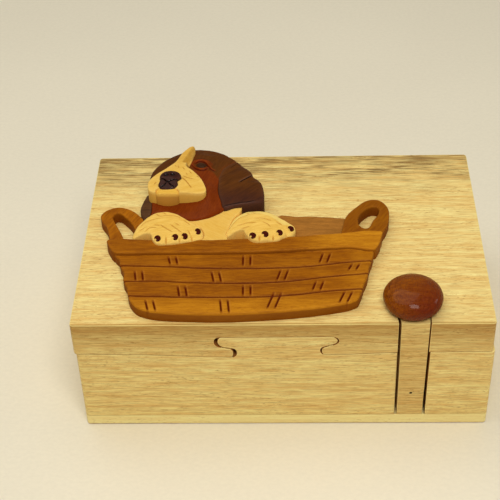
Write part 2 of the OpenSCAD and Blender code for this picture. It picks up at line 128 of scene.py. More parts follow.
PAW_LEFT_TOES = [
    [(-53.6, -11.4), (-53.6, -16.6)], [(-47.5, -12.6), (-47.3, -16.6)], [(-42.3, -9.8), (-41.5, -14.8)],
]
PAW_LEFT_FUR = [
    [(-57.0, -3.4), (-53.7, -6.2), (-50.9, -8.6)], [(-52.2, -3.3), (-49.2, -6.3), (-46.7, -8.7)],
    [(-43.9, -6.7), (-42.8, -9.3)], [(-66.3, -2.6), (-64.4, 0.0), (-61.0, 1.4), (-57.7, 1.8)],
    [(-59.3, 5.2), (-57.3, 3.7), (-54.0, 4.3), (-51.1, 3.7), (-47.5, 2.2)],
    [(-60.0, -3.1), (-56.7, -3.9)], [(-50.2, -2.0), (-48.0, -3.7)], [(-59.9, 6.4), (-58.4, 4.4)],
    [(-56.5, 7.2), (-54.9, 5.1)], [(-63.9, -6.8), (-61.5, -4.6), (-58.4, -5.4)],
    [(-66.8, -5.4), (-64.0, -3.8)], [(-46.4, 0.6), (-43.2, -2.2)],
]
# Where the inner toe of the left paw is undercut against the chest; that line is darkened as the toe's
# painted shadow
PAW_LEFT_EDGE = [(-38.9, -2.6), (-37.4, -5.6), (-36.9, -8.3), (-37.7, -10.6), (-39.8, -12.2)]
PAW_RIGHT_TOES = [
    [(-11.0, -11.2), (-11.1, -16.0)], [(-4.8, -10.6), (-4.9, -15.6)], [(1.1, -9.0), (1.2, -13.2)],
]
PAW_RIGHT_FUR = [
    [(-17.4, 6.7), (-15.9, 4.6)], [(-14.8, 7.4), (-13.3, 4.8)], [(-9.9, -2.1), (-7.4, -3.3), (-6.2, -4.9)],
    [(-21.6, -3.4), (-17.2, -2.2), (-12.8, -2.6)], [(-19.4, -5.6), (-15.4, -4.8)],
    [(-3.4, -1.2), (-0.6, -3.6)], [(-13.4, 1.2), (-9.2, 0.6), (-5.6, -0.8)],
]
# The chamfer that runs along the back of the right paw; a line is cut along its first points, darkened as
# painted shade
PAW_RIGHT_CHAMFER = [
    (-25.6, -5.0), (-24.0, -2.4), (-22.2, 0.2), (-20.6, 2.2), (-18.6, 3.6), (-16.2, 4.3), (-12.1, 4.4),
    (-9.2, 3.7), (-6.4, 2.3), (-3.5, -0.3), (-0.6, -3.4),
]
CHAMFER_CUT = 6

WHISKERS = [[(-48.4, 24.9), (-45.9, 21.3), (-43.3, 16.9)], [(-48.0, 25.9), (-45.2, 24.1), (-42.6, 23.4)]]
MUZZLE_FUR = [
    [(-48.3, 32.7), (-47.3, 30.7)], [(-45.1, 29.8), (-43.9, 27.8)], [(-50.7, 34.1), (-50.3, 32.2)],
    [(-52.2, 34.5), (-51.5, 33.2)], [(-60.2, 21.6), (-61.2, 19.6)], [(-41.2, 26.2), (-40.2, 24.4)],
    [(-46.6, 28.2), (-45.9, 26.8)],
]
BLAZE_RIDGE = [(-43.6, 54.0), (-44.9, 50.0), (-46.2, 46.0), (-47.4, 42.0), (-48.6, 38.6), (-49.6, 36.0)]
NOSE_CREASE = [(-58.9, 22.2), (-56.6, 21.5), (-54.7, 20.1), (-52.6, 20.8), (-49.6, 21.6)]
NOSE_CLEFT = [[(-54.9, 20.0), (-56.2, 18.4), (-58.4, 17.2)], [(-54.5, 20.0), (-53.2, 18.3), (-51.3, 17.4)]]
NOSTRILS = [(-55.6, 24.5), (-52.6, 24.6)]

LID_CREASE_UPPER = [(-44.8, 41.8), (-44.2, 43.8), (-42.9, 45.2), (-40.8, 45.6), (-38.6, 44.9), (-37.1, 43.2)]
LID_RIM = [
    (-43.2, 41.6), (-41.6, 43.0), (-39.6, 42.9), (-37.8, 41.6), (-36.8, 39.4), (-35.3, 36.6), (-33.2, 34.7),
]
LID_CREASE_LOWER = [
    (-44.9, 40.6), (-43.8, 38.6), (-42.8, 37.0), (-41.5, 36.1), (-40.0, 35.4), (-38.2, 35.5), (-36.8, 36.9),
]
# Above and right of this line the face is nearly black-brown, below it red
RED_FUR_LIMIT = [
    (-56, 39.5), (-50, 40.0), (-46.9, 38.6), (-44.2, 36.6), (-40.6, 35.5), (-37.2, 35.8), (-35.2, 35.0),
    (-33.2, 32.3), (-31.3, 28.6), (-30.4, 24.0), (-28, 16),
]
EAR_SEAM = [
    (-27.4, 7.3), (-29.0, 11.9), (-30.1, 16.6), (-30.9, 22.9), (-30.6, 30.1), (-27.9, 35.4), (-25.2, 38.8),
    (-22.4, 42.0),
]
EAR_FOLD = [(-13.6, 32.4), (-16.2, 30.3), (-18.6, 27.8), (-20.9, 25.2)]
EAR_NICK = [(-25.6, 38.4), (-23.0, 41.8)]
EAR_HEM = [(-27.7, 9.2), (-25.6, 9.8), (-22.6, 10.4), (-19.6, 11.0), (-16.6, 11.6), (-13.6, 12.5)]
# Right of this line the upper part of the ear is sunk
EAR_STEP = [(-20.5, 20), (-18.6, 27.8), (-13.0, 32.6)]

CLAWS_LEFT = [(-57.5, -12.2), (-49.6, -11.5), (-45.4, -10.8), (-39.7, -6.4)]
CLAWS_RIGHT = [(-14.1, -11.1), (-8.5, -10.3), (-2.0, -8.7), (3.1, -4.9)]
EYE = (-40.0, 40.3)
EYE_HALF = (2.9, 2.05)
EYE_TURN = math.radians(-15)


# ---- Settings ------------------------------------------------------------------------------------


def colour(name, description, chip):
    """A colour setting; chip is its default as on a paint card."""
    return bpy.props.FloatVectorProperty(
        name=name, description=description, subtype="COLOR", size=4, min=0, max=1, default=paint(*chip)
    )


def length(name, description, value, low, high):
    """A length setting, its default and limits given in millimetres."""
    return bpy.props.FloatProperty(
        name=name, description=description, unit="LENGTH", default=value * MM, min=low * MM, max=high * MM
    )


def share(name, description, value):
    """A setting from 0 to 1."""
    return bpy.props.FloatProperty(
        name=name, description=description, subtype="FACTOR", default=value, min=0, max=1
    )


class PuzzleBoxWood(bpy.types.PropertyGroup):
    """The pale wood that the box, the lid and the key are sawn from"""

    edge_round: length("Edge rounding", "Radius of the sanded edges", 0.32, 0.1, 1.5)
    pale: colour("Pale wood", "Colour between the growth rings", (255, 238, 160))
    deep: colour("Ring wood", "Colour of the growth rings", (230, 180, 98))
    pore: colour("Pores", "Colour of the short open pores", (164, 108, 40))
    streak: colour("Streaks", "Grey-brown mineral streaks along the back of the block", (112, 82, 42))
    board: colour("Bottom board", "Colour of the glued bottom board", (255, 240, 168))
    ring_width: length("Ring width", "Distance between growth rings", 2.6, 1, 20)
    # Painted highlight on the sanded edges that face up, partly sanded-through wood too
    sanded_sheen: colour("Sanded edges", "Light wood where the edges are sanded through", (255, 240, 158))
    # Painted shade on the sanded edges that face down, which darkens the seams and joints; also the colour of
    # the burnt saw cuts
    joint_shade_and_burn: colour("Joint", "Dark line where two parts of the block meet", (158, 88, 22))
    # Painted shade on the lid's front just under its top edge and along the front of its top
    front: colour("Front stain", "Tone of the lid's front face just under its top edge", (206, 184, 156))
    # A darker tone multiplied over the key's bar
    key_tone: colour("Key stain", "Tone of the key's bar against the lid", (238, 229, 219))
    saw_cuts: length("Saw cuts", "How far from the middle the saw has burnt the cuts", 70, 0, 90)
    streak_from: length("Streaks from", "How far behind the middle the streaks begin", 22, 0, 60)


class PuzzleBoxRelief(bpy.types.PropertyGroup):
    """Woods and carving of the lid's relief"""

    grid: length("Grid", "Distance between the points of the carved surface", 0.62, 0.3, 3)
    basket: colour("Basket", "Golden brown wood of the basket", (168, 100, 7))
    basket_deep: colour("Basket grain", "Darker grain of the basket", (118, 58, 3))
    inside: colour("Basket inside", "Purple-brown wood seen over the rim", (178, 118, 48))
    cream: colour("Cream", "Cream wood of paws, chest and muzzle", (248, 206, 106))
    cream_deep: colour("Cream grain", "Grain of the cream wood", (222, 170, 64))
    red: colour("Red", "Red-brown wood of the face", (128, 54, 6))
    dark: colour("Dark", "Dark brown wood of ears and forehead", (98, 54, 14))
    nose: colour("Nose", "Brown-black wood of the nose", (64, 28, 17))
    claw: colour("Claws", "Dark brown wood of the claws", (80, 20, 4))
    line: colour("Burnt lines", "Colour burnt into the carved lines of the basket", (96, 26, 2))
    edge_round: length("Edge rounding", "Width of the rounded edges of the basket", 0.95, 0.3, 3)
    line_depth: length("Line depth", "Depth of the carved lines in the basket", 0.75, 0.1, 1.5)


class PuzzleBoxKey(bpy.types.PropertyGroup):
    """Knob, brad and dowel"""

    knob: colour("Knob", "Red-brown lacquered wood of the knob", (150, 80, 0))
    knob_deep: colour("Knob grain", "Darker grain of the knob", (98, 36, 1))
    # Painted shade: the darker, redder colour toward the knob's right front
    knob_shade_red: colour("Knob stain", "Redder lacquer toward the knob's right front", (104, 26, 2))
    brad: colour("Brad", "Steel of the brad that stops the key", (48, 32, 20))
    gloss: share("Gloss", "How strongly the knob's lacquer shines", 0.2)
    brad_depth: length("Brad depth", "How far the brad's head is sunk under the key's face", 0.35, 0, 1)


class PuzzleBoxLining(bpy.types.PropertyGroup):
    """Felt on the floor of the hollow"""

    felt: colour("Felt", "Colour of the felt", (104, 34, 36))
    grid: length("Grid", "Distance between the points of the felt", 1.6, 0.8, 8)


class PuzzleBoxStage(bpy.types.PropertyGroup):
    """Floor, light and camera"""

    floor: colour("Floor", "Colour of the floor", (243, 236, 216))
    key_power: bpy.props.FloatProperty(
        name="Key light", description="Power of the big soft light", unit="POWER", default=3.55, min=0
    )
    daylight: bpy.props.FloatProperty(
        name="Daylight", description="Strength of the light from all round", default=0.295, min=0
    )
    lens: bpy.props.FloatProperty(
        name="Lens", description="Focal length in millimetres", default=90.12, min=20
    )


SETTINGS = {
    "puzzle_wood": PuzzleBoxWood,
    "puzzle_relief": PuzzleBoxRelief,
    "puzzle_key": PuzzleBoxKey,
    "puzzle_lining": PuzzleBoxLining,
    "puzzle_stage": PuzzleBoxStage,
}


# ---- Plane geometry ------------------------------------------------------------------------------

CORNER_COS = math.cos(math.radians(34))
CURVE_STEP = 0.5
ALMOST_ZERO = 1e-12
# How many points or edges are worked on at a time, to spare memory
POINTS_AT_A_TIME, EDGES_AT_A_TIME = 1500, 400


def curve_through(points, step, closed=False, corners_kept=False):
    """A smooth curve through the points, given as points no further apart than step."""
    p = np.asarray(points, float)
    count = len(p)
    before, after = np.roll(p, 1, 0), np.roll(p, -1, 0)
    if not closed:
        before[0], after[-1] = p[0], p[-1]

    def unit(v):
        return v / np.maximum(np.linalg.norm(v, axis=1, keepdims=True), ALMOST_ZERO)

    leave = unit(after - before)
    arrive = leave.copy()
    if corners_kept:
        come, go = unit(p - before), unit(after - p)
        sharp = (come * go).sum(1) < CORNER_COS
        leave[sharp], arrive[sharp] = go[sharp], come[sharp]
    out = []
    for i in range(count if closed else count - 1):
        j = (i + 1) % count
        span = np.linalg.norm(p[j] - p[i])
        steps = max(1, math.ceil(span / step))
        t = (np.arange(steps) / steps)[:, None]
        out.append(p[i] * (2 * t**3 - 3 * t**2 + 1) + leave[i] * span * (t**3 - 2 * t**2 + t)
                   + p[j] * (3 * t**2 - 2 * t**3) + arrive[j] * span * (t**3 - t**2))
    if not closed:
        out.append(p[-1:])
    return np.concatenate(out)


def distance_to(p, a, b):
    """Shortest distance from each point of p to the stretches from a to b."""
    best = np.empty(len(p))
    along = b - a
    square = np.maximum((along**2).sum(1), ALMOST_ZERO)
    for start in range(0, len(p), POINTS_AT_A_TIME):
        part = slice(start, start + POINTS_AT_A_TIME)
        q = p[part, None, :]
        t = np.clip(((q - a) * along).sum(2) / square, 0, 1)
        best[part] = np.sqrt(((q - (a + t[..., None] * along)) ** 2).sum(2).min(1))
    return best


def over(p, line):
    """How far each point lies behind a line that runs from left to right."""
    curve = curve_through(line, CURVE_STEP)
    order = np.argsort(curve[:, 0])
    return p[:, 1] - np.interp(p[:, 0], curve[order, 0], curve[order, 1])


def beside(p, line):
    """How far each point lies to the right of a line that runs from front to back."""
    curve = curve_through(line, CURVE_STEP)
    order = np.argsort(curve[:, 1])
    return p[:, 0] - np.interp(p[:, 1], curve[order, 1], curve[order, 0])


def ease(x):
    """0 below 0, 1 above 1, and smooth between."""
    t = np.clip(x, 0, 1)
    return t * t * (3 - 2 * t)


def oval(p, middle, half_x, half_y, turn=0.0):
    """Distance from an oval's middle, 1 on the oval itself."""
    x, y = p[:, 0] - middle[0], p[:, 1] - middle[1]
    u = (x * math.cos(turn) + y * math.sin(turn)) / half_x
    v = (y * math.cos(turn) - x * math.sin(turn)) / half_y
    return np.sqrt(u * u + v * v)


def swell(p, middle, half_x, half_y, turn=0.0):
    """A soft bump, 1 high."""
    return np.exp(-oval(p, middle, half_x, half_y, turn) ** 2)


def dome(p, top, crown, fall, reach):
    """A ball's top which has fallen away by fall at a distance of reach."""
    return top - fall * ((p[:, 0] - crown[0]) ** 2 + (p[:, 1] - crown[1]) ** 2) / reach**2


def tool_marks(p, size, height):
    """Slight waves that a gouge and sandpaper leave: how wide and how high they are."""
    return height * np.array([noise.noise(Vector((x / size, y / size, size))) for x, y in p])


def around(count):
    """Each step round a ring and the step after it."""
    return [(k, (k + 1) % count) for k in range(count)]


# ---- Plans: the relief pieces seen from above ----------------------------------------------------

WELD_M = 1e-6
OUTLINE_STEP = 0.55
# A neighbour up to FLUSH lower than a piece, and no further off than TOUCHING, makes a seam with it
FLUSH, TOUCHING = 0.5, 0.18
FAR_OFF = 1e3


def floor_rings(node):
    """The closed outlines of a CAD node's underside."""
    mesh = bmesh.new()
    mesh.from_mesh(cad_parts[node].data)
    bmesh.ops.remove_doubles(mesh, verts=mesh.verts, dist=WELD_M)
    low = min(v.co.z for v in mesh.verts) + 2 * WELD_M
    floor = {f for f in mesh.faces if all(v.co.z < low for v in f.verts)}
    neighbours = {}
    for edge in mesh.edges:
        if sum(f in floor for f in edge.link_faces) == 1:
            a, b = edge.verts
            neighbours.setdefault(a, []).append(b)
            neighbours.setdefault(b, []).append(a)
    rings = []
    while neighbours:
        start = next(iter(neighbours))
        ring, here, last = [], start, None
        while here is not None and here in neighbours:
            ring.append([here.co.x / MM, here.co.y / MM])
            ahead = [v for v in neighbours.pop(here) if v != last and v in neighbours]
            last, here = here, ahead[0] if ahead else None
        if len(ring) > 3:
            rings.append(np.array(ring))
    mesh.free()
    return rings


class Plan:
    """Outline of a piece seen from above, with what of it stands free."""

    def __init__(self, node):
        self.node = node
        self.rings = [
            curve_through(ring, OUTLINE_STEP, closed=True, corners_kept=True) for ring in floor_rings(node)
        ]
        self.a = np.concatenate(self.rings)
        self.b = np.concatenate([np.roll(r, -1, 0) for r in self.rings])
        self.free = np.ones(len(self.a), bool)

    def find_seams(self, plans):
        """Marks as not free the stretches where a neighbour about as high as this piece meets it."""
        middle = (self.a + self.b) / 2
        for other in plans.values():
            if other is not self and thickness(other.node) > thickness(self.node) - FLUSH:
                self.free &= distance_to(middle, other.a, other.b) > TOUCHING

    def inside(self, p):
        """Whether each point lies within the outline, by how often a line from it crosses the outline."""
        crossings = np.zeros(len(p), int)
        x, y = p[:, 0:1], p[:, 1:2]
        for start in range(0, len(self.a), EDGES_AT_A_TIME):
            part = slice(start, start + EDGES_AT_A_TIME)
            a, b = self.a[part], self.b[part]
            rises = (a[:, 1] > y) != (b[:, 1] > y)
            rise = b[:, 1] - a[:, 1]
            rise = np.where(np.abs(rise) < ALMOST_ZERO, ALMOST_ZERO, rise)
            crossings += (rises & (x < a[:, 0] + (y - a[:, 1]) * (b[:, 0] - a[:, 0]) / rise)).sum(1)
        return crossings % 2 == 1

    def edge_distance(self, p):
        """Distance from each point to the outline."""
        return distance_to(p, self.a, self.b)

    def part_distance(self, p, free):
        """Distance to the free part of the outline, or to the seams."""
        chosen = self.free == free
        if not chosen.any():
            return np.full(len(p), FAR_OFF)
        return distance_to(p, self.a[chosen], self.b[chosen])


PLANS = {node: Plan(node) for node in RELIEF_NODES}
for plan in PLANS.values():
    plan.find_seams(PLANS)


# ---- Carved pieces -------------------------------------------------------------------------------

GROOVE_STEP = 0.45
# Shares of a groove's width: its rows of points, how far out its lip lies and how wide that is, and how far
# from its ends it runs out; and the share of its depth that is left at the very end
GROOVE_ROWS = (0, -0.24, 0.24, -0.5, 0.5)
LIP_OUT, LIP_WIDTH = 0.66, 0.26
RUN_OUT, END_SHARE = 1.2, 0.35
FULLNESS = 0.8  # of the cut: at 1 it is a plain V
BURN_SPREAD = 1.7  # above 1 the darkest of the burn is wider than the bottom of the cut

# Shares of a rounded edge's width: its rows of points, and where the even field of points begins
EDGE_ROWS = (0.05, 0.18, 0.4, 0.7, 1.0)
FIELD_FROM = 0.9
OWN_STRETCH = 0.93  # a row's point is left out if another stretch is nearer than this share of its inset
ROW_GAP = 0.866  # between the rows of the field, for triangles with even sides
# Points of the surface keep this far from the outline and from each other
FROM_OUTLINE, FROM_EACH_OTHER = 0.045, 0.16
SURFACE_WELD, UNDERSIDE_WELD = 1e-5, 1e-6
THINNEST = 0.3  # the surface stays at least this far above the underside
WEAR_AND_SHEEN_WIDTH = 0.8  # how far in from the outline the edges are lightened, partly wear, partly painted highlight


def rounding(distance, width, drop):
    """How far a rounded edge lies below the surface, at a distance from the edge."""
    t = np.clip(1 - distance / width, 0, 1)
    return drop * (1 - np.sqrt(np.maximum(1 - t * t, 0)))


def sideways(run):
    """Unit vectors that point to the left of each stretch."""
    return np.stack([-run[:, 1], run[:, 0]], 1) / np.linalg.norm(run, axis=1, keepdims=True)


class Groove:
    """A carved line: its course, its width from lip to lip, its depth, how dark it is burnt, or on some lines
    painted as shade, and its lip.

    The lip is the side of the line, as a direction, where its edge gets a painted highlight; on the basket
    the wood there is partly sanded lighter too. Lines run out shallow at both ends, but with through the last
    end keeps its full depth."""

    def __init__(self, line, width, depth, burn=1.0, lip_sheen=None, through=False):
        self.curve = curve_through(line, GROOVE_STEP)
        self.width, self.depth, self.burn, self.through = width, depth, burn, through
        self.lip_sheen = None if lip_sheen is None else self.curve + np.array(lip_sheen) * width * LIP_OUT

    def points(self):
        """Points of the surface that the groove needs, in rows along it."""
        side = sideways(np.gradient(self.curve, axis=0))
        return np.concatenate([self.curve + side * self.width * k for k in GROOVE_ROWS])

    def cut(self, p):
        """Depth, darkening (burn, on some lines painted shade) and the lip's painted highlight at each point.
        """
        distance = distance_to(p, self.curve[:-1], self.curve[1:])
        ends = np.linalg.norm(p - self.curve[0], axis=1)
        if not self.through:
            ends = np.minimum(ends, np.linalg.norm(p - self.curve[-1], axis=1))
        full = END_SHARE + (1 - END_SHARE) * ease(ends / (RUN_OUT * self.width))
        profile = np.clip(1 - distance / (0.5 * self.width), 0, 1)
        burnt = np.clip(profile * BURN_SPREAD, 0, 1) * self.burn * full
        rubbed_sheen = np.zeros(len(p))
        if self.lip_sheen is not None:
            off_lip = distance_to(p, self.lip_sheen[:-1], self.lip_sheen[1:]) / (LIP_WIDTH * self.width)
            rubbed_sheen = np.exp(-(off_lip**2))
        return profile**FULLNESS * self.depth * full, burnt, rubbed_sheen * self.burn


def grid_points(low, high, step):
    """Points in staggered rows."""
    rows = np.arange(low[1], high[1], step * ROW_GAP)
    columns = np.arange(low[0], high[0], step)
    x, y = np.meshgrid(columns, rows)
    x = x + np.where(np.arange(len(rows)) % 2 == 0, 0, step / 2)[:, None]
    return np.stack([x.ravel(), y.ravel()], 1)


def edge_points(plan, width):
    """Points in rows beside the outline, closest together at it, for a rounded edge."""
    side = sideways(plan.b - plan.a)
    rows = []
    for share_in in EDGE_ROWS:
        inset = width * share_in
        for way in (1, -1):
            row = (plan.a + plan.b) / 2 + side * inset * way
            rows.append(row[plan.edge_distance(row) > OWN_STRETCH * inset])
    return rows


def surface_points(plan, step, width, grooves):
    """Points within the outline: along its rounded edge, along the grooves, and an even field between."""
    lines = [groove.points() for groove in grooves]
    detail = np.concatenate(lines + edge_points(plan, width))
    detail = detail[plan.inside(detail)]
    detail = detail[plan.edge_distance(detail) > FROM_OUTLINE]
    field = grid_points(plan.a.min(0), plan.a.max(0), step)
    field = field[plan.inside(field)]
    field = field[plan.edge_distance(field) > width * FIELD_FROM]
    if lines:
        cell = 0.5 * step
        taken = {tuple(spot) for spot in np.round(np.concatenate(lines) / cell).astype(int)}
        field = field[[tuple(spot) not in taken for spot in np.round(field / cell).astype(int)]]
    points = np.concatenate([detail, field])
    _, first = np.unique(np.round(points / FROM_EACH_OTHER), axis=0, return_index=True)
    return points[np.sort(first)]


def wound(flat, faces, inside, upward):
    """The triangles of faces that lie inside, all wound to face up or all down."""
    faces = np.array([face for face in faces if len(face) == 3])
    faces = faces[inside(flat[faces].mean(1))]
    a, b, c = (flat[faces[:, i]] for i in range(3))
    area = (b[:, 0] - a[:, 0]) * (c[:, 1] - a[:, 1]) - (b[:, 1] - a[:, 1]) * (c[:, 0] - a[:, 0])
    wrong = area < 0 if upward else area > 0
    faces[wrong] = faces[wrong][:, ::-1]
    return faces


def triangulate(points, plan):
    """Triangles between the points, the first of which are the plan's outline."""
    edges, start = [], 0
    for ring in plan.rings:
        count = len(ring)
        edges += [(start + i, start + (i + 1) % count) for i in range(count)]
        start += count
    flat, _, faces, *_ = delaunay_2d_cdt([Vector(p) for p in points], edges, [], 0, SURFACE_WELD)
    flat = np.array([list(p) for p in flat])
    return flat, wound(flat, faces, plan.inside, upward=True)


def open_edges(faces):
    """The edges that only one face has, in the direction in which it has them."""
    known = {tuple(e) for e in np.concatenate([faces[:, [0, 1]], faces[:, [1, 2]], faces[:, [2, 0]]])}
    return [(a, b) for a, b in known if (b, a) not in known]


def underside(name, flat, rim, plan):
    """Triangles that close a rim from below, by each point's place in the list of the rim's own points."""
    at = sorted({a for edge in rim for a in edge})
    place = {a: i for i, a in enumerate(at)}
    edges = [(place[a], place[b]) for a, b in rim]
    cap, _, faces, *_ = delaunay_2d_cdt([Vector(p) for p in flat[at]], edges, [], 0, UNDERSIDE_WELD)
    if len(cap) != len(at):
        raise RuntimeError(name + ": the outline of its underside crosses itself")
    return at, wound(flat[at], faces, plan.inside, upward=False)


def carve(name, plan, surface, step, edge, seam=(0.5, 0.25), grooves=(), tint=None, seam_fade=None,
          floor_z=LID_Z):
    """Builds a closed carved piece: a surface with rounded edges and cut lines, walls and an underside.

    surface gives the height above floor_z at each point; edge and seam are the width and drop of the
    rounding at free edges and at seams, and seam_fade the share of it that a seam gets; tint gives a share
    from 0 to 1 for a second wood."""
    inner = surface_points(plan, step, edge[0], grooves)
    flat, faces = triangulate(np.concatenate([plan.a, inner]), plan)
    seam_drop = rounding(plan.part_distance(flat, False), *seam)
    if seam_fade is not None:
        seam_drop *= seam_fade(flat)
    drop = np.maximum(rounding(plan.part_distance(flat, True), *edge), seam_drop)
    burnt, lip_sheen, cut = np.zeros((3, len(flat)))
    for groove in grooves:
        depth, burn, rubbed_sheen = groove.cut(flat)
        cut = np.maximum(cut, depth)
        burnt = np.maximum(burnt, burn)
        lip_sheen = np.maximum(lip_sheen, rubbed_sheen)
    height = np.clip(floor_z + surface(flat) - np.maximum(drop, cut), floor_z + THINNEST, TOP_Z)

    rim = open_edges(faces)
    at, bottom_faces = underside(name, flat, rim, plan)
    count = len(flat)
    below = {a: count + i for i, a in enumerate(at)}
    vertices = [(x * MM, y * MM, z * MM) for (x, y), z in zip(flat, height)]
    vertices += [(x * MM, y * MM, floor_z * MM) for x, y in flat[at]]
    polygons = [tuple(int(i) for i in face) for face in faces]
    polygons += [(int(b), int(a), below[a], below[b]) for a, b in rim]
    polygons += [tuple(count + int(i) for i in face) for face in bottom_faces]
    none = np.zeros(len(at))
    # Masks: line darkness, edge and lip lightening (painted highlight, on edges partly wear), and walls
    # (painted darker, partly as shade)
    masks = {
        "burnt": np.concatenate([burnt, none]),
        "wear_and_sheen": np.concatenate([np.exp(-plan.edge_distance(flat) / WEAR_AND_SHEEN_WIDTH), none]),
        "lip_sheen": np.concatenate([lip_sheen, none]),
        "wall": np.concatenate([np.zeros(count), np.ones(len(at))]),
    }
    if tint is not None:
        masks["tint"] = np.concatenate([tint(flat), tint(flat[at])])
    return new_piece(name, vertices, polygons, masks)


def smooth(mesh, sharp):
    """Shades a mesh smooth, creased where its faces meet at more than sharp degrees."""
    mesh.polygons.foreach_set("use_smooth", [True] * len(mesh.polygons))
    mesh.set_sharp_from_angle(angle=math.radians(sharp))


def place_object(name, data):
    """Puts a mesh, lamp or camera into the scene."""
    thing = bpy.data.objects.new(name, data)
    bpy.context.scene.collection.objects.link(thing)
    return thing


def plain_mesh(piece):
    """The mesh of an object with its modifiers applied."""
    return bpy.data.meshes.new_from_object(piece.evaluated_get(bpy.context.evaluated_depsgraph_get()))


def new_piece(name, vertices, polygons, masks=None, sharp=52):
    """A smooth mesh object with point masks, creased where its faces meet at more than sharp degrees."""
    mesh = bpy.data.meshes.new(name)
    mesh.from_pydata(vertices, [], polygons)
    mesh.validate()
    for mask, values in (masks or {}).items():
        mesh.attributes.new(mask, "FLOAT", "POINT").data.foreach_set("value", values.astype(np.float32))
    smooth(mesh, sharp)
    return place_object(name, mesh)


def dress(piece, material, body, node):
    """Gives a piece its material and its body, and hides the CAD node it stands for."""
    piece.data.materials.clear()
    piece.data.materials.append(material)
    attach(piece, body)
    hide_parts(node)


def carve_on_lid(name, node, material, slot, surface, step, edge, **more):
    """Carves a piece of the relief in place of its CAD node and dresses it."""
    piece = carve(name, PLANS[node], surface, step, edge, **more)
    dress(piece, material, "lid", node)


def flat_top(node, size, height):
    """A surface at a node's own height, with tool marks of a size and height."""
    return lambda p: thickness(node) + tool_marks(p, size, height)


# ---- Node trees ----------------------------------------------------------------------------------


def feed(tree, node, inputs):
    """Fills a node's inputs: one given as a socket is linked, any other is set."""
    for name, value in inputs.items():
        if isinstance(value, bpy.types.NodeSocket):
            tree.links.new(value, node.inputs[name])
        else:
            node.inputs[name].default_value = value


def add(tree, kind, inputs=None, **settings):
    """Adds a node with its settings and inputs."""
    node = tree.nodes.new(kind)
    for name, value in settings.items():
        setattr(node, name, value)
    feed(tree, node, inputs or {})
    return node


def use_group(tree, group, inputs):
    """Places a node group with its inputs, and gives its outputs."""
    node = tree.nodes.new("ShaderNodeGroup")
    node.node_tree = group
    feed(tree, node, inputs)
    return node.outputs


def maths(tree, operation, *values, clamp=False):
    inputs = dict(enumerate(values))
    return add(tree, "ShaderNodeMath", inputs, operation=operation, use_clamp=clamp).outputs[0]


def times(tree, first, second):
    return maths(tree, "MULTIPLY", first, second)


def plus(tree, first, second, clamp=False):
    return maths(tree, "ADD", first, second, clamp=clamp)


def minus(tree, first, second):
    return maths(tree, "SUBTRACT", first, second)


def vector_maths(tree, operation, *values):
    return add(tree, "ShaderNodeVectorMath", dict(enumerate(values)), operation=operation).outputs[0]


def vector(tree, x=0.0, y=0.0, z=0.0):
    return add(tree, "ShaderNodeCombineXYZ", {"X": x, "Y": y, "Z": z}).outputs[0]


def axes(tree, place):
    """The X, Y and Z of a vector."""
    return add(tree, "ShaderNodeSeparateXYZ", {"Vector": place}).outputs


def mask(tree, name):
    """A piece's own point or face mask."""
    return add(tree, "ShaderNodeAttribute", attribute_name=name).outputs["Fac"]


def blend_colours(tree, factor, first, second, way="MIX"):
    node = add(tree, "ShaderNodeMix", {0: factor, 6: first, 7: second}, data_type="RGBA", blend_type=way)
    return node.outputs[2]


def between(tree, value, low, high, to_low=0.0, to_high=1.0):
    """Maps a value from low..high to to_low..to_high, held at the ends."""
    inputs = {"Value": value, "From Min": low, "From Max": high, "To Min": to_low, "To Max": to_high}
    return add(tree, "ShaderNodeMapRange", inputs, clamp=True).outputs[0]


def speckle(tree, place, scale=1.0, detail=3.0, roughness=0.55, distortion=0.0):
    """Noise from 0 to 1."""
    inputs = {"Vector": place, "Scale": scale, "Detail": detail, "Roughness": roughness,
              "Distortion": distortion}
    return add(tree, "ShaderNodeTexNoise", inputs).outputs["Fac"]


def stretched(tree, place, along, across):
    """Coordinates for grain that runs along x: along and across are its lengths in millimetres."""
    scale = [1 / (v * MM) for v in (along, across, across)]
    return vector_maths(tree, "MULTIPLY", place, scale)


def turned(tree, place, turn):
    """Coordinates turned about z, so that grain runs along another direction."""
    inputs = {"Vector": place, "Rotation": (0, 0, turn)}
    return add(tree, "ShaderNodeMapping", inputs, vector_type="TEXTURE").outputs[0]


def bump(tree, height, distance, strength=1.0, below=None):
    """A normal from a height; distance is how high a height of 1 stands, and below the normal under it."""
    inputs = {"Height": height, "Distance": distance * MM, "Strength": strength}
    if below is not None:
        inputs["Normal"] = below
    return add(tree, "ShaderNodeBump", inputs).outputs[0]


# ---- Node groups that several woods share --------------------------------------------------------

WHITE = (1, 1, 1, 1)


def new_group(name, inputs, outputs):
    """A shader node group with named sockets; inputs give kind and default, outputs give kind."""
    group = bpy.data.node_groups.new(name, "ShaderNodeTree")
    for label, (kind, default) in inputs.items():
        socket = group.interface.new_socket(label, in_out="INPUT", socket_type="NodeSocket" + kind)
        if default is not None:
            socket.default_value = default
    for label, kind in outputs.items():
        group.interface.new_socket(label, in_out="OUTPUT", socket_type="NodeSocket" + kind)
    return group, group.nodes.new("NodeGroupInput").outputs, group.nodes.new("NodeGroupOutput").inputs


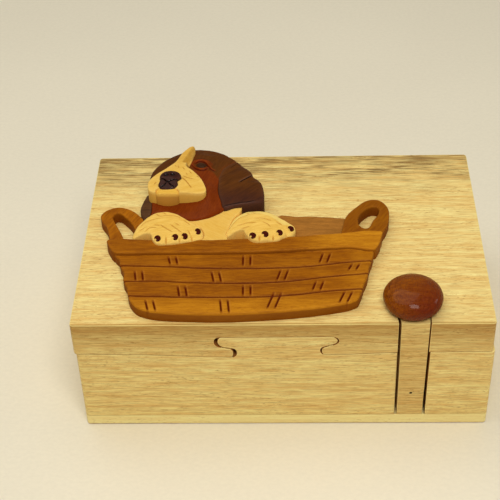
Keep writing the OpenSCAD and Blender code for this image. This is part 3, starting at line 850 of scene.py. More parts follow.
def grain_group():
    """Wood grain along x: soft rings, fine fibres and short open pores."""
    group, given, result = new_group(
        "Wood Grain",
        {"Vector": ("Vector", None), "Pale": ("Color", WHITE), "Deep": ("Color", WHITE),
         "Pore": ("Color", WHITE), "Ring Width": ("Float", 0.004), "Length": ("Float", 12.0),
         "Contrast": ("Float", 0.5), "Pores": ("Float", 0.5)},
        {"Color": "Color", "Height": "Float", "Pore Mask": "Float"},
    )
    across = maths(group, "DIVIDE", 1.0, given["Ring Width"])
    along = maths(group, "DIVIDE", across, given["Length"])
    place = vector_maths(group, "MULTIPLY", given["Vector"], vector(group, along, across, across))
    drift = add(group, "ShaderNodeTexNoise", {"Vector": place, "Scale": 0.35, "Detail": 2.0}).outputs["Color"]
    drift = vector_maths(group, "SUBTRACT", drift, (0.5, 0.5, 0.5))
    drift = vector_maths(group, "MULTIPLY", drift, (1.6, 1.6, 1.6))
    bent = vector_maths(group, "ADD", place, drift)
    rings = speckle(group, bent, scale=1.0, detail=2.0, roughness=0.45)
    fibres = speckle(group, bent, scale=4.2, detail=4.0, roughness=0.7)
    pore_place = vector_maths(group, "MULTIPLY", bent, (2.6, 1.0, 1.0))
    pores = speckle(group, pore_place, scale=7.0, detail=2.0, roughness=0.5)
    patches = between(group, speckle(group, bent, scale=0.6, detail=1.0), 0.38, 0.62)
    pores = times(group, between(group, pores, 0.60, 0.70), plus(group, times(group, patches, 0.75), 0.25))
    tone = plus(group, times(group, rings, 0.35), times(group, fibres, 0.65))
    tone = times(group, between(group, tone, 0.38, 0.62), given["Contrast"])
    wood = blend_colours(group, tone, given["Pale"], given["Deep"])
    wood = blend_colours(group, times(group, pores, given["Pores"]), wood, given["Pore"])
    group.links.new(wood, result["Color"])
    group.links.new(minus(group, times(group, fibres, 0.6), pores), result["Height"])
    group.links.new(pores, result["Pore Mask"])
    return group


def marks_and_light_group():
    """Burnt lines, painted highlights on lips and worn edges, and walls painted darker partly as shade,
    of a carved piece, from its point masks.
    """
    group, given, result = new_group(
        "Carver's Marks and Painted Light",
        {"Color": ("Color", WHITE), "Line": ("Color", WHITE), "Line Darkness": ("Float", 1.0),
         "Lip Sheen": ("Color", WHITE), "Rubbed Sheen": ("Float", 0.5), "Wall": ("Color", WHITE),
         "Darkening": ("Float", 0.5)},
        {"Color": "Color"},
    )
    # Walls are painted darker and deeper: partly end grain, partly painted shade and bounce light
    darkening = times(group, between(group, mask(group, "wall"), 0.0, 0.12), given["Darkening"])
    skin = blend_colours(group, darkening, given["Color"], given["Wall"])
    # Edges and lips are lightened: a painted highlight, on the edges partly wear too
    edges = times(group, mask(group, "wear_and_sheen"), 0.35)
    rubbed_sheen = times(group, maths(group, "MAXIMUM", mask(group, "lip_sheen"), edges), given["Rubbed Sheen"])
    skin = blend_colours(group, rubbed_sheen, skin, given["Lip Sheen"])
    # Carved lines are darkened: most are burnt, a few are painted shade
    burnt = times(group, mask(group, "burnt"), given["Line Darkness"])
    group.links.new(blend_colours(group, burnt, skin, given["Line"]), result["Color"])
    return group


def lacquer_group():
    """Hand-rubbed lacquer: its roughness changes in soft patches and it lies in faint waves."""
    group, given, result = new_group(
        "Rubbed Lacquer",
        {"Vector": ("Vector", None), "Roughness": ("Float", 0.5), "Spread": ("Float", 0.1),
         "Pore Mask": ("Float", 0.0)},
        {"Roughness": "Float", "Height": "Float"},
    )
    patches = speckle(group, stretched(group, given["Vector"], 9, 6), detail=3.0)
    rough = plus(group, given["Roughness"], times(group, minus(group, patches, 0.5), given["Spread"]))
    rough = plus(group, rough, times(group, given["Pore Mask"], 0.12), clamp=True)
    group.links.new(rough, result["Roughness"])
    waves = speckle(group, stretched(group, given["Vector"], 3.2, 2.4), detail=2.0)
    group.links.new(waves, result["Height"])
    return group


GRAIN, MARKS_AND_LIGHT, LACQUER = grain_group(), marks_and_light_group(), lacquer_group()


def grain(tree, place, pale, deep, pore, ring_m, long, contrast, pores):
    """Wood grain in a material; ring_m is the width of its rings and long how many times that they run."""
    return use_group(tree, GRAIN, {
        "Vector": place, "Pale": pale, "Deep": deep, "Pore": pore, "Ring Width": ring_m, "Length": long,
        "Contrast": contrast, "Pores": pores})


def lacquer(tree, place, wood, roughness, spread):
    """Rubbed lacquer over a wood, duller in its pores."""
    return use_group(tree, LACQUER, {"Vector": place, "Roughness": roughness, "Spread": spread,
                                     "Pore Mask": wood["Pore Mask"]})


# ---- Materials -----------------------------------------------------------------------------------


def new_material(name):
    """An empty node material: its tree, its Principled node and object coordinates."""
    material = bpy.data.materials.new(name)
    material.use_nodes = True
    tree = material.node_tree
    place = tree.nodes.new("ShaderNodeTexCoord").outputs["Object"]
    return material, tree, tree.nodes["Principled BSDF"], place


def toned(chip, tone):
    """A colour made darker, or lighter where tone is over 1."""
    return tuple(c * tone for c in chip[:3]) + (1.0,)


# The lip colour and its share paint a highlight on lips and edges; the wall colour paints the walls darker,
# partly as shade
def carved_wood(name, pale, deep, pore, line, turn=0.0, ring=3.0, contrast=0.6, pores=0.5, roughness=0.5,
                coat=0.01, burn=1.0, rubbed_sheen=0.4, lip_sheen=None, wall=None, darkening=0.5, tint=None, tint_deep=None,
                relief=0.05, shine=0.05, coat_rough=0.25):
    """Material of a carved, lacquered relief piece."""
    material, tree, shader, place = new_material(name)
    grain_place = turned(tree, place, turn)
    wood = grain(tree, grain_place, pale, deep, pore, ring * MM, 10.0, contrast, pores)
    skin = wood["Color"]
    if tint is not None:
        other = grain(tree, grain_place, tint, tint_deep, pore, ring * MM, 10.0, contrast, pores)
        skin = blend_colours(tree, mask(tree, "tint"), skin, other["Color"])
    marks = use_group(tree, MARKS_AND_LIGHT, {"Color": skin, "Line": line, "Line Darkness": burn, "Lip Sheen": lip_sheen or pale,
                                    "Rubbed Sheen": rubbed_sheen, "Wall": wall or deep, "Darkening": darkening})
    film = lacquer(tree, place, wood, roughness, 0.16)
    normal = bump(tree, wood["Height"], relief, 0.5)
    feed(tree, shader, {
        "Base Color": marks["Color"], "Roughness": film["Roughness"],
        "Normal": bump(tree, film["Height"], 0.12, 0.5, normal), "Coat Weight": coat,
        "Coat Roughness": coat_rough, "Specular IOR Level": shine})
    return material


def box_wood(settings, name="box_wood", shaded_front=False, darkening=None):
    """Material of the sawn block: grain along x right through it, with mineral streaks along its back."""
    material, tree, shader, place = new_material(name)
    pale, deep, pore = settings.pale, settings.deep, settings.pore
    rings = grain(tree, place, pale, deep, pore, settings.ring_width, 16.0, contrast=0.8, pores=0.8)
    side = axes(tree, place)
    wood = blend_colours(tree, streaks(tree, settings, place, side["Y"]), rings["Color"], settings.streak)
    dashes = between(tree, speckle(tree, stretched(tree, place, 6.5, 0.8), detail=2.0), 0.58, 0.72)
    wood = blend_colours(tree, times(tree, dashes, 0.3), wood, pore)
    fine = between(tree, speckle(tree, stretched(tree, place, 9, 0.3), detail=2.0), 0.46, 0.58)
    wood = blend_colours(tree, times(tree, fine, 0.28), wood, pore)
    if darkening is not None:
        wood = blend_colours(tree, 1.0, wood, darkening, "MULTIPLY")
    if shaded_front:
        wood = blend_colours(tree, front_shade(tree, side), wood, settings.front, "MULTIPLY")
    raised = minus(tree, rings["Height"], times(tree, dashes, 0.8))
    feed(tree, shader, {
        "Base Color": edge_wood(tree, settings, wood),
        "Roughness": lacquer(tree, place, rings, 0.5, 0.14)["Roughness"],
        "Normal": bump(tree, raised, 0.06, 0.7), "Coat Weight": 0.03, "Coat Roughness": 0.35,
        "Specular IOR Level": 0.12})
    return material


def edge_wood(tree, settings, wood):
    """Paints a highlight on the sanded edges where they face up, and paints shade on them where they face
    down and close a joint; the burnt saw cuts take the same dark colour.
    """
    wood = blend_colours(tree, times(tree, mask(tree, "sanded_sheen"), 0.5), wood, settings.sanded_sheen)
    return blend_colours(tree, times(tree, mask(tree, "seam_shade_and_burn"), 0.85), wood, settings.joint_shade_and_burn)


def streaks(tree, settings, place, depth):
    """Share of the dark streaks: thin lines and soft clouds that gather toward the back edge."""
    back_y = float(corners("base_block")[1][1])
    weaker = between(tree, depth, (back_y - 0.8) * MM, (back_y - 0.3) * MM, 0.85, 0.5)
    drift = between(tree, speckle(tree, stretched(tree, place, 60, 26)), 0.0, 1.0, -30 * MM, 30 * MM)
    depth = plus(tree, depth, drift)
    full_from = settings.streak_from + 30 * MM
    back = between(tree, depth, settings.streak_from, full_from)
    band = between(tree, depth, full_from, full_from + 8 * MM)
    lines = speckle(tree, stretched(tree, place, 13, 0.42), detail=2.0, distortion=0.4)
    fewer = between(tree, speckle(tree, stretched(tree, place, 30, 3.2), detail=1.0), 0.36, 0.54)
    lines = times(tree, between(tree, lines, 0.47, 0.55), fewer)
    clouds = between(tree, speckle(tree, stretched(tree, place, 24, 5.5), detail=2.0), 0.42, 0.62)
    dark = times(tree, plus(tree, lines, times(tree, clouds, 0.4)), back)
    dark = plus(tree, dark, times(tree, band, 0.18))
    return times(tree, maths(tree, "MINIMUM", dark, 1.0), weaker)


def front_shade(tree, side):
    """Share of painted shade on the lid: on its front just under the edge, and along the top's front."""
    front = between(tree, side["Y"], (FRONT_Y + 0.9) * MM, (FRONT_Y + 1.2) * MM, 1.0, 0.0)
    below_edge = between(tree, side["Z"], (LID_Z - 15) * MM, (LID_Z - 3) * MM, 0.2, 0.9)
    near_front = between(tree, side["Y"], (FRONT_Y + 2) * MM, (FRONT_Y + 24) * MM, 0.12, 0.0)
    on_top = times(tree, minus(tree, 1.0, front), near_front)
    return plus(tree, times(tree, front, below_edge), on_top)


PLANK_SHIFT_M = (0.31, 0.17, 0.23)


def board_wood(settings):
    """Material of the glued bottom board: the same kind of wood from another, more golden plank."""
    material, tree, shader, place = new_material("board_wood")
    plank = vector_maths(tree, "ADD", place, PLANK_SHIFT_M)
    pale, deep, pore = settings.board, settings.deep, settings.pore
    rings = grain(tree, plank, pale, deep, pore, settings.ring_width, 16.0, contrast=0.35, pores=0.6)
    feed(tree, shader, {
        "Base Color": edge_wood(tree, settings, rings["Color"]),
        "Roughness": lacquer(tree, place, rings, 0.52, 0.12)["Roughness"],
        "Normal": bump(tree, rings["Height"], 0.06, 0.7), "Specular IOR Level": 0.12})
    return material


def knob_wood(settings):
    """Glossy red-brown lacquer over figured wood, with painted shade: darker and redder toward the right
    front.
    """
    material, tree, shader, place = new_material("knob_wood")
    pale, deep = settings.knob, settings.knob_deep
    figure = grain(tree, place, pale, deep, deep, 2.2 * MM, 7.0, contrast=0.8, pores=0.4)
    film = lacquer(tree, place, figure, 0.34, 0.12)
    low, high = corners("key_knob")
    middle = (low + high) / 2 * MM
    start = float(middle[0] - middle[1])
    side = axes(tree, place)
    # Painted shade toward the knob's right front
    redder = between(tree, minus(tree, side["X"], side["Y"]), start - 4 * MM, start + 18 * MM, 0.0, 0.85)
    strokes = speckle(tree, stretched(tree, turned(tree, place, math.radians(78)), 4.5, 1.3), detail=2.0)
    normal = bump(tree, film["Height"], 0.6, 0.7)
    feed(tree, shader, {
        "Base Color": blend_colours(tree, redder, figure["Color"], settings.knob_shade_red),
        "Roughness": film["Roughness"], "Normal": bump(tree, strokes, 1.3, 1.0, normal),
        "Specular IOR Level": 0.04, "Coat Weight": settings.gloss, "Coat Roughness": 0.12})
    return material


def brad_steel(settings):
    """Dull, slightly rusted steel."""
    material, tree, shader, place = new_material("brad_steel")
    rust = speckle(tree, stretched(tree, place, 0.5, 0.5), detail=3.0)
    rusted = between(tree, rust, 0.4, 0.65)
    feed(tree, shader, {
        "Base Color": blend_colours(tree, rusted, settings.brad, paint(52, 26, 14)),
        "Roughness": between(tree, rust, 0.3, 0.7, 0.35, 0.7),
        "Metallic": between(tree, rust, 0.4, 0.65, 0.9, 0.2)})
    return material


def felt(settings):
    """Pressed wool felt with matted fibres."""
    material, tree, shader, place = new_material("felt")
    fibres = speckle(tree, place, scale=900.0, detail=4.0, roughness=0.7, distortion=2.5)
    patches = speckle(tree, stretched(tree, place, 14, 11), detail=3.0)
    tone = between(tree, plus(tree, times(tree, fibres, 0.7), times(tree, patches, 0.3)), 0.35, 0.65)
    feed(tree, shader, {
        "Base Color": blend_colours(tree, tone, toned(settings.felt, 0.45), settings.felt),
        "Roughness": between(tree, patches, 0.3, 0.7, 0.85, 1.0),
        "Normal": bump(tree, fibres, 0.25, 0.8), "Sheen Weight": 0.35})
    return material


# ---- Box -----------------------------------------------------------------------------------------

# Edges that turn outward by more than EDGE_TURN degrees are sanded; flatter ones than FLAT_TURN aren't edges
EDGE_TURN, FLAT_TURN = 32, 0.4
LOOKS_DOWN, LOOKS_ALONG_X = -0.2, 0.3  # limits of a face's direction
SANDED = 1  # the material slot that marks the sanded faces while the piece is made


def clean_copy(node):
    """A copy of a CAD node's mesh with whole faces, its outer edges marked for sanding."""
    clean = bmesh.new()
    clean.from_mesh(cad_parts[node].data)
    bmesh.ops.remove_doubles(clean, verts=clean.verts, dist=2 * WELD_M)
    bmesh.ops.dissolve_limit(clean, angle_limit=math.radians(FLAT_TURN), use_dissolve_boundaries=False,
                             verts=clean.verts, edges=clean.edges, delimit=set())
    weight = clean.edges.layers.float.new("bevel_weight_edge")
    for edge in clean.edges:
        if len(edge.link_faces) == 2 and edge.calc_face_angle_signed(0) > math.radians(EDGE_TURN):
            edge[weight] = 1.0
    mesh = bpy.data.meshes.new(node + "_sanded")
    clean.to_mesh(mesh)
    clean.free()
    smooth(mesh, EDGE_TURN)
    mesh.materials.append(None)
    mesh.materials.append(None)
    return mesh


def face_values(mesh, name, width, kind):
    """A value of every face, in rows of its parts."""
    values = np.zeros(width * len(mesh.polygons), kind)
    mesh.polygons.foreach_get(name, values)
    return values.reshape(-1, width)


def sanded_copy(node, material, body, radius_m, saw_cuts_m=0.0):
    """A CAD node's shape as one clean skin with its outer edges sanded round.

    Sawn faces that look along x are burnt dark up to saw_cuts_m from the middle."""
    piece = place_object(node + "_sanded", clean_copy(node))
    rounded = piece.modifiers.new("Sanded edges", "BEVEL")
    rounded.limit_method = "WEIGHT"
    rounded.width = radius_m
    rounded.segments = 3
    rounded.use_clamp_overlap = False
    rounded.harden_normals = True
    rounded.material = SANDED
    mesh = plain_mesh(piece)
    piece.modifiers.clear()
    piece.data = mesh
    sanded_sheen = face_values(mesh, "material_index", 1, np.int32)[:, 0] == SANDED
    normal = face_values(mesh, "normal", 3, np.float32)
    middle = face_values(mesh, "center", 3, np.float32)
    # Sanded faces that look down get painted shade, the others a painted highlight
    down = sanded_sheen & (normal[:, 2] < LOOKS_DOWN)
    sawn = (np.abs(normal[:, 0]) > LOOKS_ALONG_X) & (np.abs(middle[:, 0]) < saw_cuts_m)
    for name, chosen in (("sanded_sheen", sanded_sheen & ~down & ~sawn), ("seam_shade_and_burn", down | sawn)):
        mesh.attributes.new(name, "FLOAT", "FACE").data.foreach_set("value", chosen.astype(np.float32))
    mesh.polygons.foreach_set("material_index", np.zeros(len(mesh.polygons), np.int32))
    dress(piece, material, body, node)


class PUZZLEBOX_OT_box(bpy.types.Operator):
    """Dress the sawn block: base, lid, key and bottom board"""

    bl_idname = "puzzlebox.box"
    bl_label = "Box"

    def execute(self, context):
        settings = context.scene.puzzle_wood
        edge, sawn = settings.edge_round, settings.saw_cuts
        sanded_copy("base_block", box_wood(settings), "base", edge, sawn)
        sanded_copy("lid_panel", box_wood(settings, "lid_wood", shaded_front=True), "lid", edge, sawn)
        key_wood = box_wood(settings, "key_bar_wood", darkening=settings.key_tone)
        sanded_copy("key_bar", key_wood, "key", edge * 0.5)
        sanded_copy("bottom_board", board_wood(settings), "base", edge)
        return {"FINISHED"}


FELT_PUCKER = 0.12
FELT_EDGE = (0.7, 0.4)


class PUZZLEBOX_OT_lining(bpy.types.Operator):
    """Lay the felt on the floor of the hollow"""

    bl_idname = "puzzlebox.lining"
    bl_label = "Lining"

    def execute(self, context):
        settings = context.scene.puzzle_lining
        low, high = corners("felt_lining")
        long, wide, depth = (float(side) for side in high - low)

        def surface(p):
            return depth - FELT_PUCKER + tool_marks(p, 7, FELT_PUCKER)

        piece = carve("felt_sheet", Plan("felt_lining"), surface, settings.grid / MM, FELT_EDGE,
                      floor_z=float(low[2]))
        dress(piece, felt(settings), "base", "felt_lining")
        return {"FINISHED"}


# ---- Basket --------------------------------------------------------------------------------------

WALL_FOOT_Y, WALL_TOP_Y = -62.0, -19.0
STRAND_DROP = 0.3
INSIDE_EDGE = (0.5, 0.35)


def strand_surface(p):
    """Height of the basket's wall: each strand is slightly rounded from edge to edge."""
    joints = [p[:, 1] - over(p, line) for line in reversed(STRAND_JOINTS)]
    bounds = [np.full(len(p), WALL_FOOT_Y), *joints, np.full(len(p), WALL_TOP_Y)]
    drop = np.zeros(len(p))
    for low, high in zip(bounds[:-1], bounds[1:]):
        share_up = (p[:, 1] - low) / (high - low)
        here = (share_up >= 0) & (share_up <= 1)
        drop[here] = STRAND_DROP * np.abs(2 * share_up[here] - 1) ** 3
    return thickness("basket_body") - drop + tool_marks(p, 5, 0.12)


def pale_strands(p):
    """Share of lighter wood: the lowest strand is sanded lighter, and the wood grows lighter toward the right
    end.
    """
    low = ease((-46 - p[:, 1]) / 8) * 0.75
    return np.clip(low + 0.5 * ease((p[:, 0] - 22) / 14) + tool_marks(p, 11, 0.3), 0, 1)


def pale_rim(p):
    """Share of lighter wood toward the rim's right end."""
    return ease((p[:, 0] - 2) / 26)


def basket_wood(settings, name="basket_wood", turn=0.0, tone=1.0, **tints):
    """Golden brown wood, burnt dark in its carved lines, with a painted highlight on their lips, partly
    sanded wood, and walls painted darker, partly end grain, partly shade.
    """
    return carved_wood(name, toned(settings.basket, tone), settings.basket_deep, settings.line,
                       settings.line, turn=turn, ring=2.4, contrast=0.8, pores=0.35, rubbed_sheen=0.35,
                       lip_sheen=paint(206, 134, 44), wall=paint(112, 52, 6), darkening=0.75, **tints)


def weave_grooves(depth):
    """The joints between the strands, and the pairs of strokes across them; each has a painted
    highlight on one lip.
    """
    grooves = [Groove(line, 1.25, depth, 0.85, lip_sheen=(0, -0.85)) for line in STRAND_JOINTS]
    for top, bottom in STROKES:
        for shift in (0, STROKE_GAP):
            line = [(top[0] + shift, top[1]), (bottom[0] + shift, bottom[1])]
            grooves.append(Groove(line, 1.3, depth * 0.8, 1.0, lip_sheen=(0.8, 0)))
    return grooves


class PUZZLEBOX_OT_basket(bpy.types.Operator):
    """Carve the basket: its woven wall, rim, handles and inside"""

    bl_idname = "puzzlebox.basket"
    bl_label = "Basket"

    def execute(self, context):
        settings = context.scene.puzzle_relief
        step, edge = settings.grid / MM, settings.edge_round / MM
        wood = basket_wood(settings, tint=paint(206, 138, 26), tint_deep=paint(168, 100, 10))
        carve_on_lid("basket_wall", "basket_body", wood, "basket_wood", strand_surface, step,
                     (edge, edge * 0.8), grooves=weave_grooves(settings.line_depth / MM), tint=pale_strands)
        carve_on_lid("basket_lip", "basket_rim", wood, "basket_wood", flat_top("basket_rim", 6, 0.15), step,
                     (edge * 0.5, edge * 0.35), tint=pale_rim)
        # Both handles are the basket's wood: the left is painted lighter and the right darker, as painted
        # light and shade
        for side, turn, tone in (("left", math.radians(60), 1.1), ("right", math.radians(55), 0.8)):
            node = "basket_handle_" + side
            grip_wood = basket_wood(settings, "handle_wood_" + side, turn, tone)
            carve_on_lid("basket_grip_" + side, node, grip_wood, "basket_wood", flat_top(node, 5, 0.15), step,
                         (edge * 0.7, edge * 0.5))
        deep = toned(settings.inside, 0.6)
        plum = carved_wood("inside_wood", settings.inside, deep, deep, settings.line, ring=1.6, contrast=1.0,
                           pores=1.0, roughness=0.6, coat=0.0, wall=paint(96, 50, 16), rubbed_sheen=0.2)
        carve_on_lid("basket_back", "basket_inside", plum, "inside_wood", flat_top("basket_inside", 5, 0.1),
                     step, INSIDE_EDGE)
        return {"FINISHED"}


# ---- Puppy's head --------------------------------------------------------------------------------

# Each dome: its crown, and how far it has fallen away at a distance from there
FACE_DOME = ((-40.4, 31.6), 2.2, 26)
EAR_DOME = ((-20.4, 23.5), 2.8, 20)
FAR_EAR_DOME = ((-62.4, 12.5), 1.2, 10)
MUZZLE_DOME = ((-50.0, 26.0), 1.2, 22)
# Each swell of the face: its height, or below 0 its depth, its middle, its half lengths and its turn
FACE_SWELLS = (
    (-0.4, (-45.5, 36), 3, 6),  # beside the blaze
    (0.5, (-38, 47.5), 6, 2.5, EYE_TURN),  # the brow
    (-1.7, (-51.9, 11.5), 9, 6),  # under the chin
    (2.2, (-35.5, 16.5), 3.5, 7),  # the cheek
)
EYE_SOCKET = (EYE, 2.9, 2.2, EYE_TURN)
SOCKET_DEPTH = 0.9
# The raised lid: its height, and where it lies and how wide it is, as shares of the socket
LID_HEIGHT, LID_AT, LID_WIDTH = 0.55, 1.7, 0.3
# The nose's two balls and the groove round it, each with its middle and half lengths
NOSE_TOP = ((-53.6, 24.9), 5.6, 4.2)
NOSE_FRONT = ((-54.7, 19.4), 4.8, 4.2)
NOSE_EDGE = ((-53.8, 22.3), 5.8, 6.8)
NOSTRIL_HALF, NOSTRIL_DEPTH = (1.15, 0.85), 0.8
# Rounded edges, as width and drop
SOFT_EDGE, FOLDED_EDGE, CRISP_EDGE, NOSE_ROUND = (1.5, 1.0), (1.2, 0.8), (0.45, 0.3), (1.0, 0.7)

BURNT_RED = paint(94, 30, 2)
BURNT_BROWN = paint(64, 32, 8)
BURNT_BLACK = paint(24, 10, 8)
# Grey-blue of the painted highlight on the dark wood's lips and edges
HIGHLIGHT_GREY = paint(128, 100, 92)


def face_dome(p):
    return dome(p, thickness("puppy_face"), *FACE_DOME)


def face_surface(p):
    """The face: a low dome with a brow, a sunk eye and lids round it, hollowed under the chin."""
    ring = oval(p, *EYE_SOCKET)
    height = face_dome(p) - SOCKET_DEPTH * np.exp(-(ring / 1.05) ** 4)
    height += LID_HEIGHT * np.exp(-((ring - LID_AT) / LID_WIDTH) ** 2)
    for rise, *shape in FACE_SWELLS:
        height += rise * swell(p, *shape)
    return height + tool_marks(p, 4, 0.2)


def brow_surface(p):
    return face_dome(p) + tool_marks(p, 4, 0.2)


def dark_fur(p):
    """Share of dark wood in the face; the eyelids stay red."""
    lids = np.exp(-((oval(p, *EYE_SOCKET) - 1.55) / 0.4) ** 2)
    return ease(over(p, RED_FUR_LIMIT) / 3.2 + 0.5) * (1 - 0.8 * lids)


def flush_above(p):
    """Share of a seam's rounding: the upper part of the ear's seam is sanded flush."""
    return 1 - ease((p[:, 1] - 22) / 8)


def ear_surface(p):
    """The near ear: flush with the forehead above, and sunk right of its step."""
    height = dome(p, thickness("puppy_ear_right"), *EAR_DOME)
    near_seam = np.exp(-(np.maximum(beside(p, EAR_SEAM), 0) / 4) ** 2) * ease((p[:, 1] - 20) / 8)
    height += near_seam * (face_dome(p) - height)
    height -= 0.8 * ease(beside(p, EAR_STEP) / 3) * ease((p[:, 1] - 25) / 3)
    return height + tool_marks(p, 4.5, 0.25)


def plum_low(p):
    """Share of a darker, purplish tone low on the ear."""
    return ease((25 - p[:, 1]) / 12) * 0.95


def far_ear_surface(p):
    return dome(p, thickness("puppy_ear_left"), *FAR_EAR_DOME) + tool_marks(p, 4, 0.2)


def muzzle_surface(p):
    """The muzzle, with the white blaze above it cut off steeply on its right."""
    height = dome(p, thickness("puppy_muzzle"), *MUZZLE_DOME)
    slope = np.clip(beside(p, BLAZE_RIDGE) * 1.5, 0, 3.2) * ease((p[:, 1] - 36.5) / 2)
    around_nose = np.exp(-((oval(p, *NOSE_EDGE) - 1.0) / 0.2) ** 2)
    return height - slope - 0.3 * around_nose + tool_marks(p, 4.5, 0.2)


def blaze_gold_and_side_shade(p):
    """Share of golden wood up the blaze; on its cut side the same darker golden is painted shade."""
    side = ease(beside(p, BLAZE_RIDGE) / 0.6) * ease((p[:, 1] - 36) / 2)
    return np.maximum(0.6 * ease((p[:, 1] - 33) / 8), side)


def chin_surface(p):
    """The chin, rounded from left to right."""
    return thickness("puppy_chin") - 0.03 * (p[:, 0] + 54.5) ** 2 + tool_marks(p, 4, 0.12)


def nostrils(p):
    """Share of black wood in the two nostrils."""
    return np.max([np.exp(-oval(p, middle, *NOSTRIL_HALF) ** 4) for middle in NOSTRILS], axis=0)


def nose_surface(p):
    """The nose: an upper ball with two nostrils, and a lower ball whose front slopes down to the chin."""
    top = thickness("puppy_nose")
    upper = top - 0.1 - 0.6 * oval(p, *NOSE_TOP) ** 2
    lower = top - 1.1 - 0.9 * oval(p, *NOSE_FRONT) ** 2 - 0.25 * np.maximum(20.5 - p[:, 1], 0)
    return np.maximum(upper, lower) - NOSTRIL_DEPTH * nostrils(p) + tool_marks(p, 2.5, 0.15)


def carve_face(settings, step):
    """The face, red below and dark above, with the lids cut round its eye."""
    # The lighter red is a painted highlight on the eyelids' lips and on the face's edges
    red = carved_wood("red_wood", settings.red, BURNT_RED, BURNT_RED, paint(84, 16, 2), math.radians(70),
                      ring=2.6, pores=0.3, roughness=0.48, rubbed_sheen=0.6, burn=0.9, lip_sheen=paint(152, 60, 10),
                      wall=BURNT_RED, tint=settings.dark, tint_deep=BURNT_BROWN)
    grooves = [Groove(LID_CREASE_UPPER, 0.7, 0.3, 0.6), Groove(LID_RIM, 0.95, 0.5, lip_sheen=(0.2, 1.2)),
               Groove(LID_CREASE_LOWER, 1.0, 0.5, lip_sheen=(-0.2, 1.2))]
    carve_on_lid("face", "puppy_face", red, "red_wood", face_surface, step * 0.85, SOFT_EDGE, seam=(0.5, 0.3),
                 grooves=grooves, tint=dark_fur, seam_fade=flush_above)


def carve_brow_and_ears(settings, step):
    """The far brow and the two ears, in dark wood."""
    dark = carved_wood("dark_wood", settings.dark, BURNT_BROWN, BURNT_BROWN, BURNT_BLACK, math.radians(40),
                       ring=2.8, contrast=0.7, pores=0.4, rubbed_sheen=0.35, lip_sheen=HIGHLIGHT_GREY, wall=BURNT_BROWN,
                       tint=paint(78, 40, 22), tint_deep=paint(52, 28, 22))
    carve_on_lid("brow_left", "puppy_brow_left", dark, "dark_wood", brow_surface, step * 0.85, SOFT_EDGE)
    # The fold and the hem get a grey-blue painted highlight on their lips
    grooves = [Groove(EAR_FOLD, 0.9, 0.6, lip_sheen=(-0.6, 0.8)), Groove(EAR_NICK, 0.6, 0.2, 0.4),
               Groove(EAR_HEM, 1.0, 0.3, 0.7, lip_sheen=(0, -0.9))]
    carve_on_lid("ear_right", "puppy_ear_right", dark, "dark_wood", ear_surface, step * 0.85, FOLDED_EDGE,
                 seam=(0.8, 0.6), grooves=grooves, tint=plum_low, seam_fade=flush_above)
    grey = carved_wood("far_ear_wood", paint(94, 62, 34), paint(62, 38, 20), BURNT_BROWN, BURNT_BLACK,
                       ring=2.8, contrast=0.8, pores=0.4, rubbed_sheen=0.35, lip_sheen=HIGHLIGHT_GREY, wall=BURNT_BROWN)
    carve_on_lid("ear_left", "puppy_ear_left", grey, "dark_wood", far_ear_surface, step * 0.85, SOFT_EDGE)


def carve_muzzle_and_chin(settings, step):
    """The cream muzzle with its blaze, fur and whiskers, and the golden chin under it."""
    cream = cream_wood(settings, "muzzle_wood", math.radians(20), paint(240, 197, 98),
                       wall=paint(200, 140, 8), tint=paint(226, 172, 64), tint_deep=paint(194, 138, 42))
    grooves = [Groove(line, 0.7, 0.35, 0.95) for line in WHISKERS]
    grooves += [Groove(line, 0.7, 0.35, 0.8) for line in MUZZLE_FUR]
    grooves.append(Groove(BLAZE_RIDGE, 0.9, 0.0, 0.0))  # no cut, only points that keep the ridge sharp
    carve_on_lid("muzzle", "puppy_muzzle", cream, "cream_wood", muzzle_surface, step * 0.8, CRISP_EDGE,
                 seam=(0.5, 0.5), grooves=grooves, tint=blaze_gold_and_side_shade)
    # The light lip colour is a painted highlight on the chin's edges; its wall colour paints the walls
    # darker, partly as shade
    golden = carved_wood("chin_wood", paint(244, 196, 82), paint(214, 158, 54), paint(186, 128, 40),
                         paint(150, 92, 24), ring=2.4, contrast=0.8, pores=0.4, rubbed_sheen=0.6,
                         lip_sheen=paint(252, 214, 128), wall=paint(172, 108, 0), darkening=1.0)
    carve_on_lid("chin", "puppy_chin", golden, "cream_wood", chin_surface, step * 0.8, CRISP_EDGE,
                 seam=(0.55, 0.55))


def carve_nose(settings, step):
    """The nose, glossier than the rest, with its crease and cleft."""
    # The light lip colour is a painted highlight on the nose's rims and edges
    plum = carved_wood("nose_wood", settings.nose, BURNT_BLACK, BURNT_BLACK, paint(6, 2, 2), ring=1.6,
                       contrast=0.8, pores=0.3, roughness=0.4, coat=0.16, coat_rough=0.12, rubbed_sheen=0.8,
                       wall=BURNT_BLACK, lip_sheen=paint(112, 74, 66), tint=paint(8, 2, 2),
                       tint_deep=paint(4, 1, 1), relief=0.1)
    grooves = [Groove(NOSE_CREASE, 0.9, 0.7)] + [Groove(line, 0.8, 0.5) for line in NOSE_CLEFT]
    carve_on_lid("nose", "puppy_nose", plum, "nose_wood", nose_surface, step * 0.5, NOSE_ROUND,
                 grooves=grooves, tint=nostrils)


EYE_RINGS, EYE_STEPS = 10, 40
EYE_SINK, EYE_BULGE, EYE_DEPTH = 0.35, 0.95, 2.0


